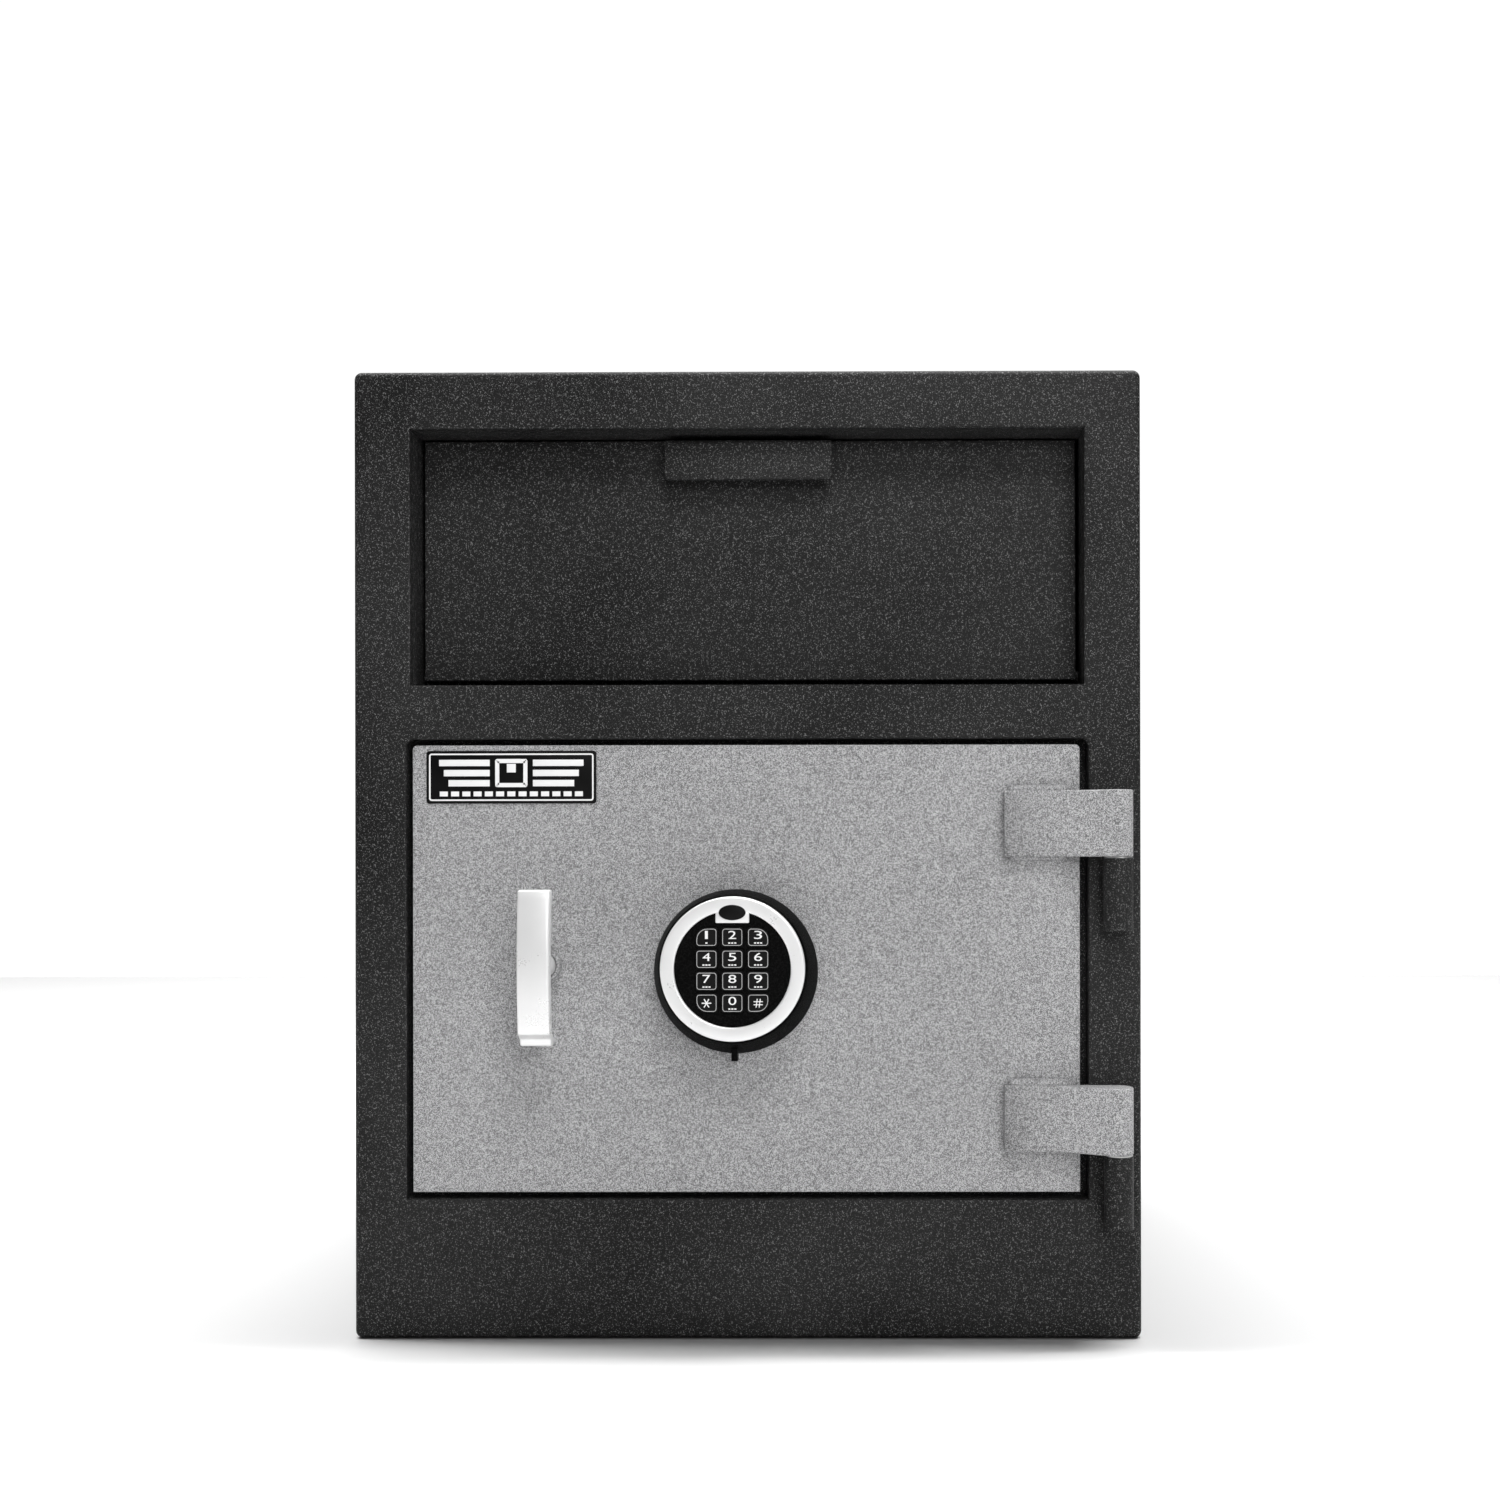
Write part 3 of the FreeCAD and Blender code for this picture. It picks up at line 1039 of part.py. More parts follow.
def keypad_case():
    base = bar("BaseDisc", "y", "keypad_radius - 1", "base_sheet", KEYPAD_X,
               f"{DOOR_FACE} - base_sheet", HOUSING_Z)
    base_bore = bar("BaseBore", "y", "cable_radius", "base_sheet + 2", KEYPAD_X,
                    f"{DOOR_FACE} - base_sheet - 1", HANDLE_Z)
    keep(cut("KeypadBasePlate", base, [base_bore]), "keypad_base_plate")
    seat = bar("HousingSeat", "y", "keypad_radius - 1", "base_sheet + 1", KEYPAD_X,
               f"{DOOR_FACE} - base_sheet", HOUSING_Z)
    channel = drawer_box("HousingChannel", "key_gap")
    well = bar("HousingWell", "y", "ring_bore", f"{BOARD_BACK} - {HOUSING_FRONT} + 1", KEYPAD_X,
               f"{HOUSING_FRONT} - 1", RING_Z)
    lead = bar("HousingLead", "y", "cable_radius", "keypad_depth + 2", KEYPAD_X,
               f"{BOARD_BACK} - 1", f"{DRAWER_TOP} + cable_radius + lead_rise")
    keep(cut("KeypadHousing", envelope("HousingShape"), [seat, channel, well, lead]),
         "keypad_housing")
    board_blank = bar("BoardDisc", "y", "ring_bore - working_gap", "board_sheet", KEYPAD_X,
                      BOARD_FRONT, RING_Z)
    keep(board_blank, "keypad_board")
    cable = bar("CableSolid", "y", "cable_radius", f"{LOCK_FRONT} - {DOOR_FACE} + base_sheet",
                KEYPAD_X, f"{DOOR_FACE} - base_sheet", HANDLE_Z)
    keep(cable, "keypad_cable")


def ring_tab(name, gap, front, back):
    """The block of the ring's tab, from inside the ring down to its lower edge."""
    half = f"(ring_tab_width / 2 + {gap})"
    return box(name, f"{KEYPAD_X} - {half}", f"{KEYPAD_X} + {half}", front, back,
               f"{RING_Z} + ring_tab_height - {gap}", f"{RING_Z} + ring_bore + 1")


def keypad_ring():
    """Bright ring pressed on the housing's front, with a tab at the top for the badge."""
    body = doc.addObject("PartDesign::Body", "RingBody")
    sketch = body.newObject("Sketcher::SketchObject", "RingSection")
    support = [p for p in body.Origin.OriginFeatures if p.Role == "YZ_Plane"][0]
    sketch.AttachmentSupport = [(support, "")]
    sketch.MapMode = "FlatFace"
    sketch.setExpression("AttachmentOffset.Base.z", expr(KEYPAD_X))
    low = f"({RING_Z} + ring_bore)"
    top = f"({RING_Z} + ring_radius)"
    rim = "ring_round"
    add_loop(sketch, [
        (f"{RING_FRONT} + ring_depth", low),
        (f"{RING_FRONT} + ring_depth", top),
        (f"{RING_FRONT} + {rim}", top, rim, 1),
        (RING_FRONT, f"{top} - {rim}"),
        (RING_FRONT, f"{low} + {rim}", rim, 1),
        (f"{RING_FRONT} + {rim}", low),
    ])
    axis = body.newObject("PartDesign::Line", "RingAxis")
    axis.Placement.Rotation = SPIN["y"]
    place(axis, KEYPAD_X, "0", RING_Z)
    doc.recompute()
    turn = body.newObject("PartDesign::Revolution", "RingTurn")
    turn.Profile = sketch
    turn.ReferenceAxis = (axis, [""])
    turn.Angle = 360
    doc.recompute()
    tab = ring_tab("RingTab", "0", f"{RING_FRONT} + badge_sheet", f"{RING_FRONT} + ring_depth")
    # the badge is let into the ring and its tab
    keep(cut("KeypadRing", join("RingWithTab", [body, tab]), [badge("BadgeSeat")]),
         "keypad_ring")
    keep(badge("KeypadBadge"), "keypad_badge")


def badge(name):
    """Long oval plate, its front level with the ring's."""
    reach = "(badge_width / 2 - badge_height / 2)"
    middle = f"({RING_Z} + badge_rise)"
    ends = [bar(f"{name}End{side}", "y", "badge_height / 2", "badge_sheet",
                f"{KEYPAD_X} {side} {reach}", RING_FRONT, middle)
            for side in ("-", "+")]
    web = box(f"{name}Middle", f"{KEYPAD_X} - {reach}", f"{KEYPAD_X} + {reach}", RING_FRONT,
              f"{RING_FRONT} + badge_sheet", f"{middle} - badge_height / 2",
              f"{middle} + badge_height / 2")
    return join(name, ends + [web])


KEYS = [
    ("1", -1, 1.5), ("2", 0, 1.5), ("3", 1, 1.5),
    ("4", -1, 0.5), ("5", 0, 0.5), ("6", 1, 0.5),
    ("7", -1, -0.5), ("8", 0, -0.5), ("9", 1, -0.5),
    ("star", -1, -1.5), ("0", 0, -1.5), ("hash", 1, -1.5),
]


def key_outline(column, row, grow):
    """A key's outline. The four keys at the pad's corners have one large outer corner."""
    x = f"({KEYPAD_X} + {column} * (key_width + key_space_x))"
    z = f"({KEYS_Z} + {row} * (key_height + key_space_z))"
    half_x = f"(key_width / 2 + {grow})"
    half_z = f"(key_height / 2 + {grow})"
    small = f"(key_corner + {grow})"
    large = f"(outer_key_corner + {grow})"
    radii = [small] * 4
    if abs(row) > 1 and column:
        spot = {(-1, -1): 0, (1, -1): 1, (1, 1): 2, (-1, 1): 3}[(column, 1 if row > 0 else -1)]
        radii[spot] = large
    return rounded(f"({x} - {half_x})", f"({x} + {half_x})", f"({z} - {half_z})",
                   f"({z} + {half_z})", radii)


def keypad_face():
    """Black face inside the ring, with a window for each key and a notch for the tab."""
    windows = [profile(f"FaceWindow_{name}", "XZ_Plane", [key_outline(column, row, "key_gap")],
                       f"-{FACE_BACK} - 1", "face_plate + 2")
               for name, column, row in KEYS]
    disc = bar("FaceDisc", "y", "ring_bore", "face_plate", KEYPAD_X, FACE_FRONT, RING_Z)
    notch = ring_tab("FaceNotch", "0", f"{FACE_FRONT} - 1", f"{FACE_BACK} + 1")
    keep(cut("KeypadFace", disc, windows + [notch]), "keypad_face")


def keys():
    """Each key stands through the face and has a flange behind it that keeps it in."""
    for name, column, row in KEYS:
        cap = profile(f"KeyCap_{name}", "XZ_Plane", [key_outline(column, row, "0")],
                      f"-{KEY_BACK}", f"{KEY_BACK} - {FACE_FRONT} + key_proud")
        front = value(f"{FACE_FRONT} - key_proud")
        round_edges(cap, "key_round", lambda edge: flat_at(edge, "Y", front))
        flange = profile(f"KeyFlange_{name}", "XZ_Plane",
                         [key_outline(column, row, "key_flange")], f"-{KEY_BACK}",
                         "key_flange_sheet")
        keep(join(f"Key_{name}", [cap, flange]), f"key_{name}")


def battery_drawer():
    """Drawer that slides down out of the housing; its foot follows the housing's outside."""
    block = common("DrawerShape", drawer_box("DrawerBlock", "0"), envelope("DrawerEnvelope"))
    cells = []
    bays = []
    cell_y = f"({DRAWER_FRONT} + drawer_depth / 2)"
    cell_low = f"({DRAWER_TOP} - cell_length - 1)"
    for index in range(4):
        x = f"({KEYPAD_X} + {index - 1.5} * (2 * cell_radius + cell_space))"
        cells.append(bar(f"Cell{index}", "z", "cell_radius", "cell_length", x, cell_y, cell_low))
        bays.append(bar(f"Bay{index}", "z", "cell_radius + cell_gap", "cell_length", x, cell_y,
                        cell_low))
    nub = box("DrawerNub", f"{KEYPAD_X} - nub_width / 2", f"{KEYPAD_X} + nub_width / 2",
              f"{DRAWER_FRONT} + nub_inset_front", f"{DRAWER_BACK} - nub_inset_back",
              f"{HOUSING_Z} - keypad_radius - nub_drop", f"{HOUSING_Z} - keypad_radius + nub_root")
    keep(cut("BatteryDrawer", join("DrawerSolid", [block, nub]), bays), "battery_drawer")
    keep(group("BatteryCells", cells), "battery_cells")


outer_shell()
front_frame()
cabinet_back()
door_jamb()
hopper_surround()
divider_shelf()
chute_baffle()
hinge_knuckles()
hopper()
door_plate()
hinge_straps()
name_plate()
door_pan()
dead_bar()
lock()
handle()
bolt_cam()
boltwork()
keypad_case()
keypad_ring()
keypad_face()
keys()
battery_drawer()
doc.recompute()

for thing in doc.Objects:
    if any(word in thing.State for word in ("Invalid", "Error")):
        raise RuntimeError(f"{thing.Name} did not build: {thing.State}")
for piece in nodes:
    if piece.Shape.isNull() or not piece.Shape.isValid() or not piece.Shape.Solids:
        raise RuntimeError(f"{piece.Label} has no valid solid")
os.makedirs("parts", exist_ok=True)
for piece in nodes:
    piece.Shape.exportStep(f"parts/{piece.Label}.step")
    print(piece.Label, len(piece.Shape.Solids), round(piece.Shape.Volume))
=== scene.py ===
import bpy
import math
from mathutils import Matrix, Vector


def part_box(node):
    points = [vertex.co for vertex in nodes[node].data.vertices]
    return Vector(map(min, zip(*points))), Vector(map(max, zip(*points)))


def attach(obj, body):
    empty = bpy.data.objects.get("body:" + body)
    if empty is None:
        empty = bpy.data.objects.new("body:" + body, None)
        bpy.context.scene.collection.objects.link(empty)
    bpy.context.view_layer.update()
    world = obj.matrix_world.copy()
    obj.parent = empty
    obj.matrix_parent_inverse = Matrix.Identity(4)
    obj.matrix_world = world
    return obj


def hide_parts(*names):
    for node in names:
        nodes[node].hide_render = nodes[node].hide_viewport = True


# Front-loading drop safe, 0.42 m wide and 0.52 m high: textured black cabinet with a tip-out
# hopper, and a textured grey door on outside hinges with a bar handle and a round keypad.
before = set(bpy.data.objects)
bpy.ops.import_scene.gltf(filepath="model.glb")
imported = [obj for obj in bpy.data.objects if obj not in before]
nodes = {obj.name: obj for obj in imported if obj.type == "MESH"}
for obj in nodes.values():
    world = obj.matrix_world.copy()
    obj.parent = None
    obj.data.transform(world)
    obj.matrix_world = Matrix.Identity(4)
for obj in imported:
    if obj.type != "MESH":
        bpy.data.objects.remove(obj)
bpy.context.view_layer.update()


# --- Studio --------------------------------------------------------------------------------------
# The safe stands on a white floor in front of white. Two soft boxes light its front, a narrow bank
# hangs over its front edge, and a broad one lights the floor behind. The camera stands a little to
# the right, at mid height.
front_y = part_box("front_frame")[0][1]

camera = bpy.data.objects.new("camera", bpy.data.cameras.new("camera"))
camera.data.lens = 35.53
camera.data.shift_x = -0.0791
camera.data.shift_y = 0.0732
camera.location = (0.0685, front_y - 0.7866, 0.2547)
camera.rotation_euler = (math.radians(90), math.radians(0.09), math.radians(0.281))
bpy.context.scene.collection.objects.link(camera)
bpy.context.scene.camera = camera
bpy.context.scene.view_settings.view_transform = "Standard"


def soft_box(name, wide, tall, place, target, power):
    """A rectangular area light aimed at a point."""
    lamp = bpy.data.lights.new(name, "AREA")
    lamp.shape = "RECTANGLE"
    lamp.size = wide
    lamp.size_y = tall
    lamp.energy = power
    light = bpy.data.objects.new(name, lamp)
    light.location = place
    aim = Vector(target) - Vector(place)
    light.rotation_euler = aim.to_track_quat("-Z", "Y").to_euler()
    bpy.context.scene.collection.objects.link(light)
    return light


front_bank = soft_box("front_bank", wide=1.3, tall=0.9, place=(0.75, -2.0, 0.95),
                      target=(0, front_y, 0.25), power=19)
high_bank = soft_box("high_bank", wide=0.7, tall=0.45, place=(0.2, -1.05, 1.6),
                     target=(0, front_y, 0.4), power=15)
roof_y = front_y + 0.08
soft_box("roof_bank", wide=2.6, tall=0.12, place=(0, roof_y, 2.2), target=(0, roof_y, 0),
         power=58)
floor_bank_y = 1.5
soft_box("floor_bank", wide=6, tall=4, place=(0, floor_bank_y, 2.6),
         target=(0, floor_bank_y, 0), power=150)

# the camera sees plain white behind the floor, and all other rays meet a dim surround
world = bpy.data.worlds.new("studio")
world.use_nodes = True
sky = world.node_tree
surround = sky.nodes["Background"]
surround.inputs["Color"].default_value = (1, 1, 1, 1)
surround.inputs["Strength"].default_value = 0.1
backdrop = sky.nodes.new("ShaderNodeBackground")
backdrop.inputs["Color"].default_value = (1, 1, 1, 1)
backdrop.inputs["Strength"].default_value = 1.05
chooser = sky.nodes.new("ShaderNodeMixShader")
ray = sky.nodes.new("ShaderNodeLightPath")
sky.links.new(ray.outputs["Is Camera Ray"], chooser.inputs[0])
sky.links.new(surround.outputs[0], chooser.inputs[1])
sky.links.new(backdrop.outputs[0], chooser.inputs[2])
sky.links.new(chooser.outputs[0], sky.nodes["World Output"].inputs["Surface"])
bpy.context.scene.world = world


class Value:
    """One output of a material's node. Sums on it add Math nodes to the same material."""

    def __init__(self, paint, socket):
        self.paint = paint
        self.socket = socket

    def reckon(self, operation, first, second):
        return self.paint.node("ShaderNodeMath", {"operation": operation}, {0: first, 1: second})

    def __add__(self, other):
        return self.reckon("ADD", self, other)

    def __radd__(self, other):
        return self.reckon("ADD", other, self)

    def __sub__(self, other):
        return self.reckon("SUBTRACT", self, other)

    def __rsub__(self, other):
        return self.reckon("SUBTRACT", other, self)

    def __mul__(self, other):
        return self.reckon("MULTIPLY", self, other)

    def __rmul__(self, other):
        return self.reckon("MULTIPLY", other, self)

    def __gt__(self, other):
        return self.reckon("GREATER_THAN", self, other)

    def held(self):
        """Kept between 0 and 1."""
        return self.paint.node("ShaderNodeClamp", {}, {0: self})


class Paint:
    """A material in the making. Fixed values are set on the surface's own sockets."""

    def __init__(self, name, **fixed):
        self.material = bpy.data.materials.new(name)
        self.material.use_nodes = True
        self.tree = self.material.node_tree
        self.surface = self.tree.nodes["Principled BSDF"]
        for socket, amount in fixed.items():
            self.surface.inputs[socket.replace("_", " ")].default_value = amount

    def node(self, kind, settings, values, output=0):
        """Any node: its kind, its settings, and the numbers or values that go in."""
        made = self.tree.nodes.new(kind)
        for name, setting in settings.items():
            setattr(made, name, setting)
        for socket, amount in values.items():
            self.link(amount, made.inputs[socket])
        return Value(self, made.outputs[output])

    def link(self, amount, socket):
        if isinstance(amount, Value):
            self.tree.links.new(amount.socket, socket)
        else:
            socket.default_value = amount

    def place(self, stretch=(1, 1, 1)):
        """The point on the object, stretched along its axes."""
        spot = self.node("ShaderNodeTexCoord", {}, {}, "Object")
        if tuple(stretch) == (1, 1, 1):
            return spot
        return self.node("ShaderNodeMapping", {}, {"Vector": spot, "Scale": stretch})

    def noise(self, scale, detail=2.0, roughness=0.5, stretch=(1, 1, 1)):
        return self.node("ShaderNodeTexNoise", {}, {
            "Vector": self.place(stretch), "Scale": scale, "Detail": detail,
            "Roughness": roughness})

    def blend(self, share, first, second):
        """A colour between two colours. 6, 7 and 2 are the Mix node's sockets for colours."""
        return self.node("ShaderNodeMix", {"data_type": "RGBA"},
                         {0: share, 6: first, 7: second}, 2)

    def bump(self, height, strength, distance):
        self.feed("Normal", self.node("ShaderNodeBump", {}, {
            "Height": height, "Strength": strength, "Distance": distance}))

    def feed(self, socket, amount):
        self.link(amount, self.surface.inputs[socket])


def grey(level, blue=1.0):
    """A neutral colour, or one a touch bluer."""
    return (level, level, level * blue, 1)


floor_paint = Paint("studio_floor", Roughness=0.9)
floor_grain = floor_paint.noise(30, 3)
floor_paint.feed("Base Color", floor_paint.blend(floor_grain * 0.1, grey(0.86), grey(0.9)))
bpy.ops.object.select_all(action="DESELECT")
bpy.ops.mesh.primitive_plane_add(size=4.5, location=(0, 0, 0))
floor = bpy.context.object
floor.name = "floor"
floor.data.materials.append(floor_paint.material)

# flags keep the two front banks off the floor, so that the roof bank draws its soft shadow
for bank in (front_bank, high_bank):
    flagged = bpy.data.collections.new(bank.name + "_flag")
    flagged.objects.link(floor)
    bank.light_linking.receiver_collection = flagged
    flagged.collection_objects[0].light_linking.link_state = "EXCLUDE"


# --- Cabinet -------------------------------------------------------------------------------------
# Folded and welded steel, sprayed with a sandy black powder coat. Its grains are about half a
# millimetre across, and the coat is a little duller in broad patches.
def powder_coat(name, dark, light, contrast, share, grain=1600, roughness=0.5, depth=0.5,
                shine=0.12):
    """Textured powder coat: fine raised grains, with painted highlights on their tops."""
    paint = Paint(name, Specular_IOR_Level=shine)
    grains = paint.noise(grain, 2.0, 0.6)
    coarser = paint.noise(grain * 0.45, 1.0, 0.5)
    patches = paint.noise(9, 3.0, 0.5)
    height = (grains * 0.75 + coarser * 0.25).held()
    # painted highlight: the colour is lighter where the grains stand highest, as glints on their
    # tops would make it
    painted_grain_highlight = ((height - 0.5) * contrast + share).held()
    paint.feed("Base Color", paint.blend((painted_grain_highlight * 0.86 + patches * 0.14).held(), dark, light))
    paint.feed("Roughness", (roughness + (patches - 0.5) * 0.12 - painted_grain_highlight * 0.08).held())
    paint.bump(height, depth, 0.0006)
    return paint


def dress(paint, *names):
    """Give CAD pieces a material in their own slots."""
    for name in names:
        for slot in nodes[name].material_slots:
            slot.material = paint.material


def select_only(piece):
    bpy.ops.object.select_all(action="DESELECT")
    piece.select_set(True)
    bpy.context.view_layer.objects.active = piece


def open_at(piece, kind, test):
    """Select a piece's points, edges or faces that pass a test, and leave it open for editing."""
    members = {"VERT": piece.data.vertices, "EDGE": piece.data.edges,
               "FACE": piece.data.polygons}[kind]
    bpy.ops.object.mode_set(mode="EDIT")
    bpy.ops.mesh.select_mode(type=kind)
    bpy.ops.mesh.select_all(action="DESELECT")
    bpy.ops.object.mode_set(mode="OBJECT")
    for member in members:
        member.select = test(member)
    bpy.ops.object.mode_set(mode="EDIT")


def ends_of(piece, edge):
    """The places of an edge's two ends."""
    return [piece.data.vertices[index].co for index in edge.vertices]


def finish(piece, name, body, paint, angle=35, replaced=()):
    """Name a piece, settle its place into its mesh, and give it its coat and its body."""
    select_only(piece)
    bpy.ops.object.transform_apply(location=True, rotation=True, scale=True)
    bpy.ops.object.mode_set(mode="EDIT")
    bpy.ops.mesh.select_all(action="SELECT")
    bpy.ops.mesh.remove_doubles(threshold=2e-6)
    bpy.ops.mesh.normals_make_consistent(inside=False)
    bpy.ops.object.mode_set(mode="OBJECT")
    bpy.ops.object.shade_smooth_by_angle(angle=math.radians(angle))
    piece.name = name
    piece.data.name = name
    piece.data.materials.clear()
    piece.data.materials.append(paint.material)
    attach(piece, body)
    if replaced:
        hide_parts(*replaced)
    return piece


def ease_edges(piece, width, segments=3, angle=40):
    """Round a piece's sharp edges with an applied bevel."""
    select_only(piece)
    bevel = piece.modifiers.new("eased", "BEVEL")
    bevel.width = width
    bevel.segments = segments
    bevel.limit_method = "ANGLE"
    bevel.angle_limit = math.radians(angle)
    bevel.harden_normals = False
    bpy.ops.object.modifier_apply(modifier="eased")


def sheet_piece(node, body, paint, width=0.0, angle=35):
    """A copy of a CAD piece with its faces merged and its edges eased as paint leaves them."""
    source = nodes[node]
    piece = bpy.data.objects.new(node + "_finished", source.data.copy())
    bpy.context.scene.collection.objects.link(piece)
    select_only(piece)
    bpy.ops.object.mode_set(mode="EDIT")
    bpy.ops.mesh.select_all(action="SELECT")
    bpy.ops.mesh.remove_doubles(threshold=2e-6)
    bpy.ops.mesh.dissolve_limited(angle_limit=math.radians(0.2))
    bpy.ops.object.mode_set(mode="OBJECT")
    if width:
        ease_edges(piece, width)
    return finish(piece, node + "_finished", body, paint, angle, (node,))


black_coat = powder_coat("black_powder_coat", grey(0), grey(0.16), contrast=14, share=-0.85)
dress(black_coat, "back_panel", "door_jamb", "divider_shelf", "chute_baffle",
      "hopper_pivot_rod")
sheet_piece("front_frame", "cabinet", black_coat)
sheet_piece("outer_shell", "cabinet", black_coat)
sheet_piece("hopper_surround", "cabinet", black_coat, width=0.0004)


# --- Weld beads ----------------------------------------------------------------------------------
# Arc-weld beads under the paint: where the back panel meets the wrap, round the fixed hinge
# barrels' feet and along the hinge straps' pads.
def weld_bead(name, start, end, radius, body, paint, ripple=0.066):
    """A bead between two points: a stretched ball, ringed by the weld's ripples. ripple is their
    height as a share of the radius."""
    ring_gap = 0.0005
    most_rings = 100
    ripple_length = 0.0021
    swell_length = 0.0057
    start = Vector(start)
    end = Vector(end)
    span = end - start
    bpy.ops.object.select_all(action="DESELECT")
    bpy.ops.mesh.primitive_uv_sphere_add(segments=16, ring_count=10, radius=radius)
    bead = bpy.context.object
    half = span.length / 2
    for point in bead.data.vertices:
        if abs(point.co.z) > radius * 0.02:
            point.co.z += math.copysign(half, point.co.z)

    def runs_along(edge):
        first, second = ends_of(bead, edge)
        return abs(first.z - second.z) > half * 0.9

    open_at(bead, "EDGE", runs_along)
    bpy.ops.mesh.subdivide(number_cuts=max(8, min(most_rings, int(half / ring_gap))))
    bpy.ops.object.mode_set(mode="OBJECT")
    for point in bead.data.vertices:
        along = point.co.z + half
        wave = (math.sin(along / ripple_length * math.pi * 2)
                + 0.5 * math.sin(along / swell_length))
        grow = 1 + ripple * wave
        point.co.x *= grow
        point.co.y *= grow
    bead.rotation_mode = "QUATERNION"
    bead.rotation_quaternion = span.to_track_quat("Z", "Y")
    bead.location = (start + end) / 2
    return finish(bead, name, body, paint, 60)


panel_low, panel_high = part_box("back_panel")
seam_y = panel_high[1] + 0.0002
seam_radius = 0.0017
seam_end = 0.004
for side, x in (("left", panel_low[0]), ("right", panel_high[0])):
    weld_bead(f"back_weld_{side}", (x, seam_y, panel_low[2] + seam_end),
              (x, seam_y, panel_high[2] - seam_end), seam_radius, "cabinet", black_coat)
for side, z in (("low", panel_low[2]), ("top", panel_high[2])):
    weld_bead(f"back_weld_{side}", (panel_low[0] + seam_end, seam_y, z),
              (panel_high[0] - seam_end, seam_y, z), seam_radius, "cabinet", black_coat)


# --- Hinges on the cabinet -----------------------------------------------------------------------
# Two short barrels turned from bar, welded to the front on a foot and painted with the cabinet.
# Bright steel pins stand up out of them, with a washer under each strap.
foot_inset = 0.0022
foot_weld_y = front_y - 0.0006
foot_weld_end = 0.003
for level in ("upper", "lower"):
    knuckle = f"hinge_knuckle_{level}"
    sheet_piece(knuckle, "cabinet", black_coat, width=0.0009, angle=40)
    low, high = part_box(knuckle)
    for side, x in (("left", low[0] + foot_inset), ("right", high[0] - foot_inset)):
        weld_bead(f"{knuckle}_weld_{side}", (x, foot_weld_y, low[2] + foot_weld_end),
                  (x, foot_weld_y, high[2] - foot_weld_end), 0.0016, "cabinet", black_coat)


def plated_steel(name, level, roughness, streak=(1, 1, 1)):
    """Zinc-plated or ground steel with faint streaks and soft stains."""
    paint = Paint(name, Metallic=1.0)
    lines = paint.noise(60, 4.0, 0.6, streak)
    stains = paint.noise(35, 4.0, 0.55)
    paint.feed("Base Color", paint.blend(stains, grey(level * 0.72, 0.98), grey(level, 1.01)))
    paint.feed("Roughness", (roughness + (lines - 0.5) * 0.22 + (stains - 0.5) * 0.1).held())
    paint.bump(lines, 0.12, 0.0002)
    return paint


plate_steel = plated_steel("zinc_plated_steel", level=0.62, roughness=0.32, streak=(1, 1, 22))
dress(plate_steel, "hinge_pins", "hinge_washers", "spindle_clip", "bolt_guides",
      "handle_spindle")


# --- Rubber buffers ------------------------------------------------------------------------------
# Two moulded blocks glued inside the collar, which the closed hopper panel rests against.
def rubber(name, level):
    """Matt black rubber, greyed a little by dust."""
    paint = Paint(name, Specular_IOR_Level=0.12)
    dust = paint.noise(240, 4.0, 0.6)
    paint.feed("Base Color", paint.blend(dust, grey(level), grey(level * 2.2)))
    paint.feed("Roughness", (0.7 + (dust - 0.5) * 0.3).held())
    paint.bump(dust, 0.3, 0.0003)
    return paint


black_rubber = rubber("black_rubber", 0.012)
sheet_piece("hopper_buffers", "cabinet", black_rubber, width=0.001)


# --- Hopper --------------------------------------------------------------------------------------
# A 4 mm front panel with a folded pull tab, and a tray between two quadrant cheeks, all welded
# and sprayed with the cabinet's coat. Deposits slide on the tray, which is rubbed brighter.
sheet_piece("hopper_panel", "hopper", black_coat, width=0.0004)
sheet_piece("hopper_pull", "hopper", black_coat, width=0.0005)
worn_coat = powder_coat("worn_black_powder_coat", grey(0.01), grey(0.09), contrast=8, share=0.35,
                        grain=1300, roughness=0.42)
dress(worn_coat, "hopper_tray")
dress(black_coat, "hopper_cheek_left", "hopper_cheek_right")
tray_low, tray_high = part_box("hopper_tray")
for side, x in (("left", tray_low[0] + 0.0005), ("right", tray_high[0] - 0.0005)):
    weld_bead(f"tray_weld_{side}", (x, tray_low[1] + 0.006, tray_high[2] - 0.001),
              (x, tray_high[1] - 0.004, tray_low[2] + 0.0035), 0.0014, "hopper",
              black_coat)


# --- Door ----------------------------------------------------------------------------------------
# A 10 mm steel plate with eased edges and, behind it, a folded pan for the boltwork. Both are
# sprayed with a sandy grey powder coat. The two straps are welded on before painting.
grey_coat = powder_coat("grey_powder_coat", grey(0.1, 1.015), grey(0.54, 1.015), contrast=7,
                        share=0.42, grain=2100)
sheet_piece("door_plate", "door", grey_coat)
sheet_piece("door_pan", "door", grey_coat, width=0.0004)
sheet_piece("door_back_cover", "door", grey_coat, width=0.0005)
dress(grey_coat, "dead_bar")

door_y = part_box("door_plate")[0][1]
for level in ("upper", "lower"):
    strap = f"hinge_strap_{level}"
    sheet_piece(strap, "door", grey_coat, width=0.0005, angle=40)
    low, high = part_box(strap)
    pad_start = low[0] + 0.005
    pad_end = low[0] + 0.031
    top_y = door_y - 0.0012
    top_z = high[2] + 0.0003
    foot_y = door_y - 0.0006
    weld_bead(f"{strap}_weld_top", (pad_start, top_y, top_z), (pad_end, top_y, top_z), 0.0031,
              "door", grey_coat, ripple=0.0264)
    weld_bead(f"{strap}_weld_foot", (pad_start, foot_y, low[2]), (pad_end, foot_y, low[2]),
              0.002, "door", grey_coat, ripple=0.044)


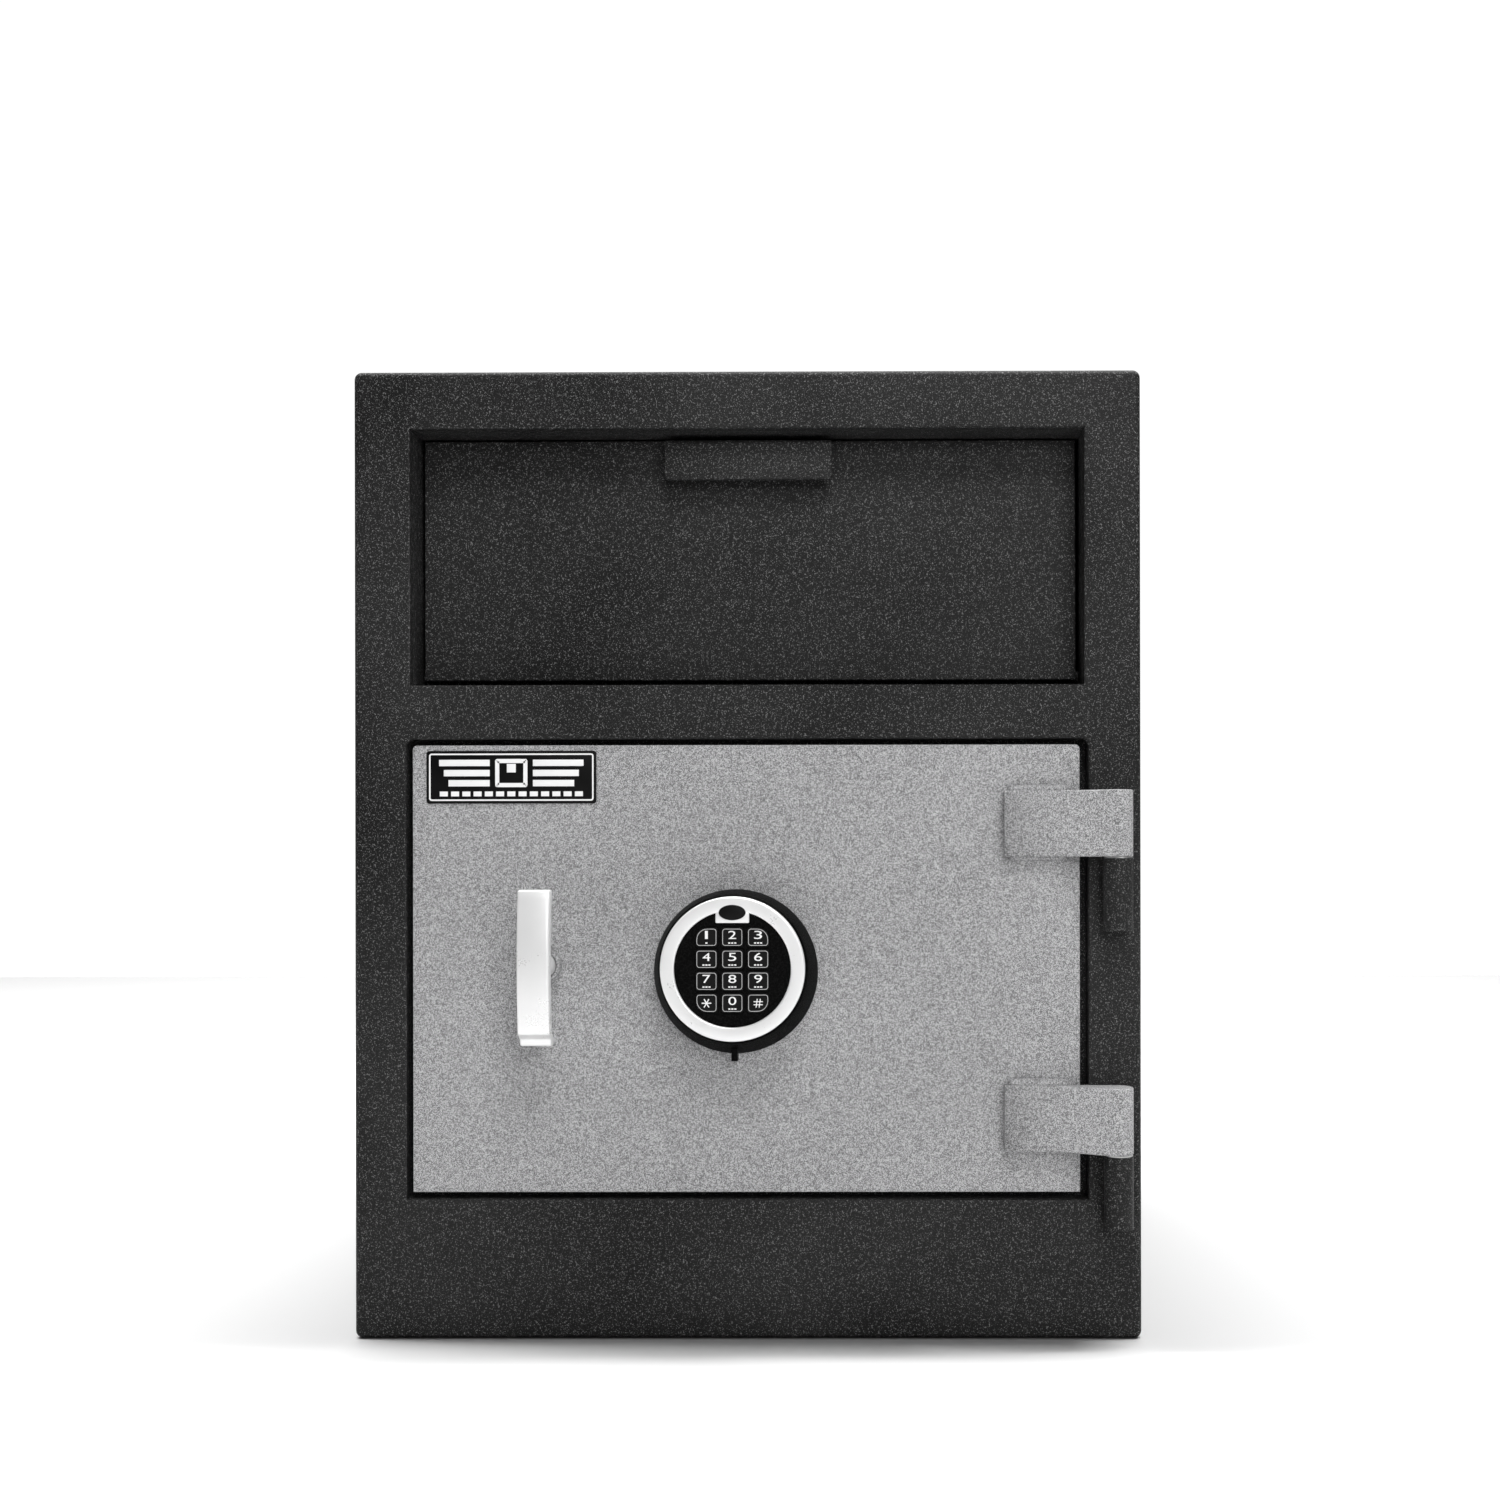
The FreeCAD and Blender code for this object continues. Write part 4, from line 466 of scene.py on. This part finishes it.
# --- Cover screws --------------------------------------------------------------------------------
# Pan-head screws with a cross recess, four in the door's back cover and four in the lock.
def pan_screws(node, body, radius):
    """A domed head over each CAD screw of a node, with a cross sunk into it."""
    low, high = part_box(node)
    thick = 0.0024
    recess_deep = 0.0026
    recess_wide = 0.0009
    heads = []
    for x in (low[0] + radius, high[0] - radius):
        for z in (low[2] + radius, high[2] - radius):
            bpy.ops.object.select_all(action="DESELECT")
            bpy.ops.mesh.primitive_cylinder_add(
                vertices=32, radius=radius, depth=thick,
                location=(x, high[1] - thick / 2 + 0.0001, z),
                rotation=(math.radians(-90), 0, 0))
            head = bpy.context.object
            bpy.ops.object.transform_apply(location=False, rotation=True, scale=False)
            ease_edges(head, 0.0009, 3)
            for turn in (0, 90):
                bpy.ops.object.select_all(action="DESELECT")
                bpy.ops.mesh.primitive_cube_add(
                    size=1, location=(x, high[1], z), rotation=(0, math.radians(turn + 20), 0),
                    scale=(radius * 1.15, recess_deep, recess_wide))
                tool = bpy.context.object
                sink = head.modifiers.new("cross", "BOOLEAN")
                sink.object = tool
                sink.solver = "EXACT"
                select_only(head)
                bpy.ops.object.modifier_apply(modifier="cross")
                bpy.data.objects.remove(tool)
            heads.append(head)
    for head in heads:
        head.select_set(True)
    bpy.context.view_layer.objects.active = heads[0]
    bpy.ops.object.join()
    return finish(heads[0], node + "_heads", body, plate_steel, 35, (node,))


for node in ("cover_screws", "lock_screws"):
    pan_screws(node, "door", radius=0.0046)


# --- Name plate ----------------------------------------------------------------------------------
# A thin black plate glued to the door. It is printed with a border, a plain parcel sign between
# three bars on each side, and a row of dashes.
def enamel(name, dark, light, roughness):
    """Smooth moulded or printed plastic with a faint ripple."""
    paint = Paint(name, Specular_IOR_Level=0.15)
    flow = paint.noise(160, 3.0, 0.5)
    paint.feed("Base Color", paint.blend(flow, dark, light))
    paint.feed("Roughness", (roughness + (flow - 0.5) * 0.16).held())
    paint.bump(flow, 0.06, 0.0002)
    return paint


plate_black = enamel("name_plate_black", grey(0.001), grey(0.003), roughness=0.4)
print_white = enamel("printed_white", grey(0.72), grey(0.82), roughness=0.5)
sheet_piece("name_plate", "door", plate_black, width=0.0002)
plate_low, plate_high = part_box("name_plate")
plate_y = plate_low[1]


def printed_frame(name, centre, wide, tall, corner, line, body, paint, corners=None):
    """A printed outline that faces the front: a rounded rectangle, inset, its middle taken out.
    corners can give each corner, by the signs of its place, a radius of its own."""
    bpy.ops.object.select_all(action="DESELECT")
    bpy.ops.mesh.primitive_plane_add(size=1, location=centre, rotation=(math.radians(90), 0, 0))
    mark = bpy.context.object
    mark.scale = (wide, tall, 1)
    bpy.ops.object.transform_apply(location=False, rotation=True, scale=True)
    groups = {}
    for signs in ((-1, -1), (1, -1), (1, 1), (-1, 1)):
        radius = (corners or {}).get(signs, corner)
        groups.setdefault(radius, []).append(signs)
    for radius, members in groups.items():

        def is_sharp_corner(point, members=members):
            at_corner = (abs(abs(point.co.x) - wide / 2) < 1e-6
                         and abs(abs(point.co.z) - tall / 2) < 1e-6)
            signs = (1 if point.co.x > 0 else -1, 1 if point.co.z > 0 else -1)
            return at_corner and signs in members

        open_at(mark, "VERT", is_sharp_corner)
        bpy.ops.mesh.bevel(offset=radius, segments=7, affect="VERTICES")
    bpy.ops.mesh.select_all(action="SELECT")
    bpy.ops.mesh.select_mode(type="FACE")
    bpy.ops.mesh.inset(thickness=line, depth=0)
    bpy.ops.mesh.delete(type="FACE")
    bpy.ops.mesh.select_all(action="SELECT")
    bpy.ops.mesh.extrude_region_move(TRANSFORM_OT_translate={"value": (0, -0.00006, 0)})
    bpy.ops.object.mode_set(mode="OBJECT")
    return finish(mark, name, body, paint, 30)


def printed_bar(centre, wide, tall, turn=0):
    """A short printed stroke that faces the front, turned by some degrees."""
    bpy.ops.object.select_all(action="DESELECT")
    bpy.ops.mesh.primitive_cube_add(size=1, location=centre, scale=(wide, 0.00012, tall),
                                    rotation=(0, math.radians(turn), 0))
    mark = bpy.context.object
    bpy.ops.object.transform_apply(location=False, rotation=True, scale=True)
    ease_edges(mark, min(wide, tall) * 0.3, 2)
    return mark


plate_x = (plate_low[0] + plate_high[0]) / 2
plate_z = (plate_low[2] + plate_high[2]) / 2
plate_wide = plate_high[0] - plate_low[0]
plate_tall = plate_high[2] - plate_low[2]
outline_lift = 0.00002
bar_lift = 0.00004
border_margin = 0.0028
printed_frame("name_plate_border", (plate_x, plate_y - outline_lift, plate_z),
              plate_wide - border_margin, plate_tall - border_margin, 0.0014, 0.0008, "door",
              print_white)
marks = []
sign_z = plate_z + 0.0022
bar_start = 0.0115
bar_pitch = 0.0054
bar_tall = 0.0034
for side in (-1, 1):
    for row, wide in ((1, 0.0270), (0, 0.0245), (-1, 0.0220)):
        marks.append(printed_bar((plate_x + side * (bar_start + wide / 2), plate_y - bar_lift,
                                  sign_z + row * bar_pitch), wide, bar_tall))
marks.append(printed_bar((plate_x, plate_y - bar_lift, sign_z + 0.0026), 0.0048, 0.0046))
dash_count = 13
dash_pitch = 0.0060
dash_z = plate_z - 0.0089
for step in range(dash_count):
    marks.append(printed_bar((plate_x + (step - dash_count // 2) * dash_pitch,
                              plate_y - bar_lift, dash_z), 0.0043, 0.0026))
bpy.ops.object.select_all(action="DESELECT")
for mark in marks:
    mark.select_set(True)
bpy.context.view_layer.objects.active = marks[0]
bpy.ops.object.join()
finish(marks[0], "name_plate_sign", "door", print_white, 30)
printed_frame("name_plate_parcel", (plate_x, plate_y - outline_lift, sign_z), 0.0172, 0.0150,
              0.0012, 0.0022, "door", print_white)


# --- Handle --------------------------------------------------------------------------------------
# A die-cast bar, satin chromed, bowed a little towards the hand, with bevelled ends. Its hub
# turns in a bush that is painted with the door.
def satin_chrome(name, level, roughness):
    """Plated metal with a very fine grain and faint handling marks."""
    paint = Paint(name, Metallic=0.4)
    grain = paint.noise(900, 2.0, 0.6)
    smears = paint.noise(45, 4.0, 0.6)
    paint.feed("Base Color", paint.blend(smears, grey(level * 0.94), grey(level)))
    paint.feed("Roughness", (roughness + (smears - 0.5) * 0.14 + (grain - 0.5) * 0.06).held())
    paint.bump(grain, 0.08, 0.0001)
    return paint


chrome = satin_chrome("satin_chrome", level=0.86, roughness=0.3)
bar_low, bar_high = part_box("handle_bar")
bar_x = (bar_low[0] + bar_high[0]) / 2
bar_z = (bar_low[2] + bar_high[2]) / 2
bar_thick = 0.0070
bar_bow = 0.0028
foot_facets = ((0.0032, 0.0042), (0.0042, 0.0004))
bar_wide = bar_high[0] - bar_low[0] - 0.0004
bpy.ops.object.select_all(action="DESELECT")
bpy.ops.mesh.primitive_cube_add(
    size=1, location=(bar_x, bar_low[1] + bar_thick / 2, bar_z),
    scale=(bar_wide, bar_thick, bar_high[2] - bar_low[2]))
handle = bpy.context.object
bpy.ops.object.transform_apply(location=False, rotation=False, scale=True)
open_at(handle, "FACE", lambda face: face.normal.z < -0.9)
for length, rise in foot_facets:
    bpy.ops.mesh.extrude_region_move(
        TRANSFORM_OT_translate={"value": (0, rise, -length)})
bpy.ops.object.mode_set(mode="OBJECT")
lowest = min(point.co.z for point in handle.data.vertices)
highest = max(point.co.z for point in handle.data.vertices)


def is_long(edge):
    first, second = ends_of(handle, edge)
    return abs(first.z - second.z) > 0.05


open_at(handle, "EDGE", is_long)
bpy.ops.mesh.subdivide(number_cuts=14)
bpy.ops.object.mode_set(mode="OBJECT")
reach = (bar_high[2] - bar_low[2]) / 2
for point in handle.data.vertices:
    point.co.z = -reach + (point.co.z - lowest) / (highest - lowest) * reach * 2
    point.co.y += bar_bow * (point.co.z / reach) ** 2
ease_edges(handle, 0.0012, 3, 25)

hub_radius = 0.0064
hub_low = bar_low[1] + bar_thick * 0.6
bpy.ops.object.select_all(action="DESELECT")
bpy.ops.mesh.primitive_cylinder_add(
    vertices=64, radius=hub_radius, depth=bar_high[1] - hub_low,
    location=(bar_x, (bar_high[1] + hub_low) / 2, bar_z), rotation=(math.radians(90), 0, 0))
hub = bpy.context.object
ease_edges(hub, 0.0007, 3)
handle.select_set(True)
bpy.context.view_layer.objects.active = handle
bpy.ops.object.join()
finish(handle, "handle_casting", "handle", chrome, 32, ("handle_bar",))

sheet_piece("handle_bush", "door", grey_coat, width=0.0009)


# --- Keypad housing ------------------------------------------------------------------------------
# A moulded black cup screwed to the door. It narrows towards the ring, whose centre is set a
# little high, so the wall below is the widest. A well in its front takes the keys and the board,
# a slot through its foot takes the battery drawer, and a recess behind fits over the base plate.
moulded_black = powder_coat("moulded_black", grey(0), grey(0.005), contrast=8, share=0.2,
                            shine=0.04)
housing_low, housing_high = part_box("keypad_housing")
housing_x = (housing_low[0] + housing_high[0]) / 2
foot_radius = (housing_high[0] - housing_low[0]) / 2
housing_deep = housing_high[1] - housing_low[1]
ring_low, ring_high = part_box("keypad_ring")
ring_x = (ring_low[0] + ring_high[0]) / 2
ring_z = (ring_low[2] + ring_high[2]) / 2
ring_radius = (ring_high[0] - ring_low[0]) / 2
ring_bore = 0.0303
housing_z = housing_low[2] + foot_radius
drawer_low, drawer_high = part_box("battery_drawer")

bpy.ops.object.select_all(action="DESELECT")
bpy.ops.mesh.primitive_cone_add(
    vertices=144, radius1=foot_radius, radius2=ring_radius + 0.001, depth=housing_deep,
    location=(housing_x, (housing_low[1] + housing_high[1]) / 2, housing_z),
    rotation=(math.radians(90), 0, 0))
housing = bpy.context.object
bpy.ops.object.transform_apply(location=True, rotation=True, scale=True)
# the front rim moves up, so that the cone leans towards the ring's centre
for point in housing.data.vertices:
    if point.co.y < housing_low[1] + 0.001:
        point.co.z += ring_z - housing_z
ease_edges(housing, 0.0016, 4, 50)
# the battery drawer's slot, then the keys' well, the base plate's recess and the cable's hole
slack = 0.0006
past_foot = 0.009
bpy.ops.object.select_all(action="DESELECT")
bpy.ops.mesh.primitive_cube_add(
    size=1, location=(housing_x, (drawer_low[1] + drawer_high[1]) / 2,
                      (drawer_low[2] + drawer_high[2]) / 2 - 0.004),
    scale=(drawer_high[0] - drawer_low[0] + slack, drawer_high[1] - drawer_low[1] + slack,
           drawer_high[2] - drawer_low[2] + past_foot))
hollows = [bpy.context.object]
board_low, board_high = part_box("keypad_board")
base_low, base_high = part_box("keypad_base_plate")
cable_hole_radius = 0.0025
cable_hole_z = board_high[2] - 0.015
past_face = 0.003
for radius, z, front, back in (
        (ring_bore, ring_z, housing_low[1] - past_face, board_high[1]),
        ((base_high[0] - base_low[0]) / 2, housing_z, base_low[1], housing_high[1] + past_face),
        (cable_hole_radius, cable_hole_z, board_low[1], base_high[1])):
    bpy.ops.object.select_all(action="DESELECT")
    bpy.ops.mesh.primitive_cylinder_add(
        vertices=96, radius=radius, depth=back - front,
        location=(housing_x, (front + back) / 2, z), rotation=(math.radians(90), 0, 0))
    hollows.append(bpy.context.object)
for hollow in hollows:
    sink = housing.modifiers.new("hollow", "BOOLEAN")
    sink.object = hollow
    sink.solver = "EXACT"
    select_only(housing)
    bpy.ops.object.modifier_apply(modifier="hollow")
    bpy.data.objects.remove(hollow)
finish(housing, "keypad_cup", "door", moulded_black, 35, ("keypad_housing",))
dress(moulded_black, "keypad_base_plate", "keypad_face", "battery_drawer")


# --- Keypad ring and badge -----------------------------------------------------------------------
# A pressed ring in satin chrome that snaps onto the housing. Its tab comes down inside, and a
# blank black oval is let into the ring above the tab.
def flat_ring(x, y, z, outer, inner, depth, ease):
    """A flat ring that faces the front, its two front edges rounded."""
    bpy.ops.object.select_all(action="DESELECT")
    bpy.ops.mesh.primitive_cylinder_add(vertices=160, radius=outer, depth=depth,
                                        location=(x, y, z), rotation=(math.radians(90), 0, 0))
    ring = bpy.context.object
    bpy.ops.object.transform_apply(location=False, rotation=True, scale=False)
    open_at(ring, "FACE", lambda face: abs(face.normal.y) > 0.9)
    bpy.ops.mesh.inset(thickness=outer - inner, depth=0)
    bpy.ops.mesh.bridge_edge_loops()
    # the bore's wall stays selected from the bridge, so its edges are eased with the front rims
    bpy.ops.mesh.select_mode(type="EDGE")
    bpy.ops.object.mode_set(mode="OBJECT")
    for edge in ring.data.edges:
        ends = ends_of(ring, edge)
        at_front = all(end.y < -depth / 2 + 1e-5 for end in ends)
        radii = [math.hypot(end.x, end.z) for end in ends]
        edge.select = at_front and abs(radii[0] - radii[1]) < 1e-5
    bpy.ops.object.mode_set(mode="EDIT")
    bpy.ops.mesh.bevel(offset=ease, segments=6, affect="EDGES")
    bpy.ops.object.mode_set(mode="OBJECT")
    return ring


ring_deep = ring_high[1] - ring_low[1]
tab_wide = 0.0175
tab_thick = 0.0031
tab_y = ring_low[1] + 0.0019
tab_low = ring_z + 0.0239
tab_high = ring_z + ring_bore + 0.001
ring = flat_ring(ring_x, (ring_low[1] + ring_high[1]) / 2, ring_z, outer=ring_radius,
                 inner=ring_bore, depth=ring_deep, ease=0.0009)
bpy.ops.object.select_all(action="DESELECT")
bpy.ops.mesh.primitive_cube_add(size=1, location=(ring_x, tab_y, (tab_low + tab_high) / 2),
                                scale=(tab_wide, tab_thick, tab_high - tab_low))
tab = bpy.context.object
bpy.ops.object.transform_apply(location=False, rotation=False, scale=True)
ease_edges(tab, 0.0006, 3)
ring.select_set(True)
bpy.context.view_layer.objects.active = ring
bpy.ops.object.join()
finish(ring, "keypad_bezel", "door", chrome, 32, ("keypad_ring",))

badge_low, badge_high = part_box("keypad_badge")
bpy.ops.object.select_all(action="DESELECT")
bpy.ops.mesh.primitive_cylinder_add(
    vertices=72, radius=0.5, depth=0.0008,
    location=((badge_low[0] + badge_high[0]) / 2, badge_low[1] + 0.0002,
              (badge_low[2] + badge_high[2]) / 2), rotation=(math.radians(90), 0, 0))
oval = bpy.context.object
bpy.ops.object.transform_apply(location=False, rotation=True, scale=False)
oval.scale = (badge_high[0] - badge_low[0], 1, badge_high[2] - badge_low[2])
bpy.ops.object.transform_apply(location=False, rotation=False, scale=True)
ease_edges(oval, 0.0003, 3)
finish(oval, "keypad_oval", "door", plate_black, 35, ("keypad_badge",))


# --- Keys ----------------------------------------------------------------------------------------
# Twelve silicone keys in a telephone's order. Each has a printed outline, a printed digit, and
# short dashes below where a telephone would have letters.
key_rubber = rubber("key_rubber", 0.003)
outline_grey = enamel("printed_grey", grey(0.34), grey(0.46), roughness=0.5)
# each stroke of the two signs: across, up, length, thickness and turn in degrees
sign_strokes = {
    "star": [(0, 0, 0.0050, 0.0006, turn) for turn in (0, 60, 120)],
    "hash": [(0, 0.0008, 0.0048, 0.0005, 0), (0, -0.0008, 0.0048, 0.0005, 0),
             (0.0008, 0, 0.0046, 0.0005, 98), (-0.0008, 0, 0.0046, 0.0005, 98)],
}
key_names = [name for name in nodes if name.startswith("key_")]
keys_box = [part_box(name) for name in key_names]
pad_x = (min(low[0] for low, high in keys_box) + max(high[0] for low, high in keys_box)) / 2
pad_z = (min(low[2] for low, high in keys_box) + max(high[2] for low, high in keys_box)) / 2
flange = 0.0005
outline_margin = 0.0011
outer_corner = 0.0056
digit_wide = {"1": 0.0015}
digit_tall = 0.0042
dash_pitch = 0.00155
for name in key_names:
    dress(key_rubber, name)
    low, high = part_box(name)
    x = (low[0] + high[0]) / 2
    z = (low[2] + high[2]) / 2
    y = low[1]
    wide = high[0] - low[0] - 2 * flange
    tall = high[2] - low[2] - 2 * flange
    mark = name[4:]
    at_side = abs(x - pad_x) > wide / 2
    at_end = abs(z - pad_z) > tall * 1.5
    corners = {}
    if at_side and at_end:
        corners[(1 if x > pad_x else -1, 1 if z > pad_z else -1)] = outer_corner
    printed_frame(f"{name}_outline", (x, y - outline_lift, z), wide - outline_margin,
                  tall - outline_margin, 0.0015, 0.00034, name, outline_grey, corners)
    if mark in sign_strokes:
        # each stroke stands a hair in front of the last, so that no two faces coincide
        strokes = [
            printed_bar((x + across, y - bar_lift - 0.00001 * step, z + up), long, thin, turn)
            for step, (across, up, long, thin, turn) in enumerate(sign_strokes[mark])]
    else:
        bpy.ops.object.select_all(action="DESELECT")
        bpy.ops.object.text_add(location=(0, 0, 0))
        digit = bpy.context.object
        digit.data.body = mark
        digit.data.size = 0.0062
        digit.data.extrude = 0.00005
        select_only(digit)
        bpy.ops.object.convert(target="MESH")
        digit = bpy.context.object
        spread = [point.co.x for point in digit.data.vertices]
        rise = [point.co.y for point in digit.data.vertices]
        stretch = digit_wide.get(mark, 0.0041) / (max(spread) - min(spread))
        lift = digit_tall / (max(rise) - min(rise))
        for point in digit.data.vertices:
            point.co.x = (point.co.x - (min(spread) + max(spread)) / 2) * stretch
            point.co.y = (point.co.y - (min(rise) + max(rise)) / 2) * lift
        digit.rotation_euler = (math.radians(90), 0, 0)
        digit.location = (x, y - 0.00005, z + 0.0012)
        bpy.ops.object.transform_apply(location=True, rotation=True, scale=True)
        strokes = [digit]
        count = 1 if mark == "1" else 3
        for step in range(count):
            shift = (step - (count - 1) / 2) * dash_pitch
            strokes.append(printed_bar((x + shift, y - bar_lift, z - 0.0030), 0.0011, 0.0007))
    select_only(strokes[0])
    for stroke in strokes[1:]:
        stroke.select_set(True)
    bpy.ops.object.join()
    finish(strokes[0], f"{name}_legend", name, print_white, 30)


# --- Boltwork and lock ---------------------------------------------------------------------------
# Ground and plated steel behind the door: two throw bolts with chamfered noses on a carriage, a
# spiral cam on the spindle, a hardened plate, and a die-cast lock with its own bolt.
bolt_steel = plated_steel("ground_bolt_steel", level=0.7, roughness=0.22, streak=(22, 1, 1))
sheet_piece("locking_bolts", "boltwork", bolt_steel, width=0.0011)
sheet_piece("lock_bolt", "lock_bolt", bolt_steel, width=0.0006)
cam_steel = plated_steel("cam_steel", level=0.5, roughness=0.35, streak=(1, 1, 9))
dress(cam_steel, "bolt_cam", "bolt_carriage", "cam_follower")
dark_steel = plated_steel("dark_steel", level=0.3, roughness=0.5)
dress(dark_steel, "hard_plate")

cast_zinc = Paint("cast_lock_body", Metallic=0.8)
skin = cast_zinc.noise(420, 4.0, 0.6)
cast_zinc.feed("Base Color", cast_zinc.blend(skin, grey(0.34), grey(0.46)))
cast_zinc.feed("Roughness", (0.5 + (skin - 0.5) * 0.2).held())
cast_zinc.bump(skin, 0.25, 0.0003)
sheet_piece("lock_body", "door", cast_zinc, width=0.0014)


# --- Circuit board, cable and cells --------------------------------------------------------------
# A green board behind the keys, a round black cable through the door, and four plain cells with
# a coloured band in the battery drawer.
board_paint = Paint("circuit_board", Roughness=0.35)
tracks = board_paint.noise(190, 1.0, 0.4, (1, 1, 0.2)) > 0.54
board_paint.feed("Base Color", board_paint.blend(tracks, (0.012, 0.10, 0.035, 1),
                                                 (0.02, 0.17, 0.06, 1)))
board_paint.bump(tracks, 0.3, 0.0001)
dress(board_paint, "keypad_board")
dress(black_rubber, "keypad_cable")
cell_paint = Paint("cell_wrap", Roughness=0.3)
cell_low, cell_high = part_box("battery_cells")
height = cell_paint.node("ShaderNodeSeparateXYZ", {}, {0: cell_paint.place()}, "Z")
band = height > (cell_low[2] + (cell_high[2] - cell_low[2]) * 0.72)
scuff = cell_paint.noise(300, 3.0, 0.6)
cell_paint.feed("Base Color", cell_paint.blend(band, (0.02, 0.022, 0.03, 1),
                                               (0.45, 0.30, 0.12, 1)))
cell_paint.feed("Roughness", (0.25 + scuff * 0.2).held())
dress(cell_paint, "battery_cells")
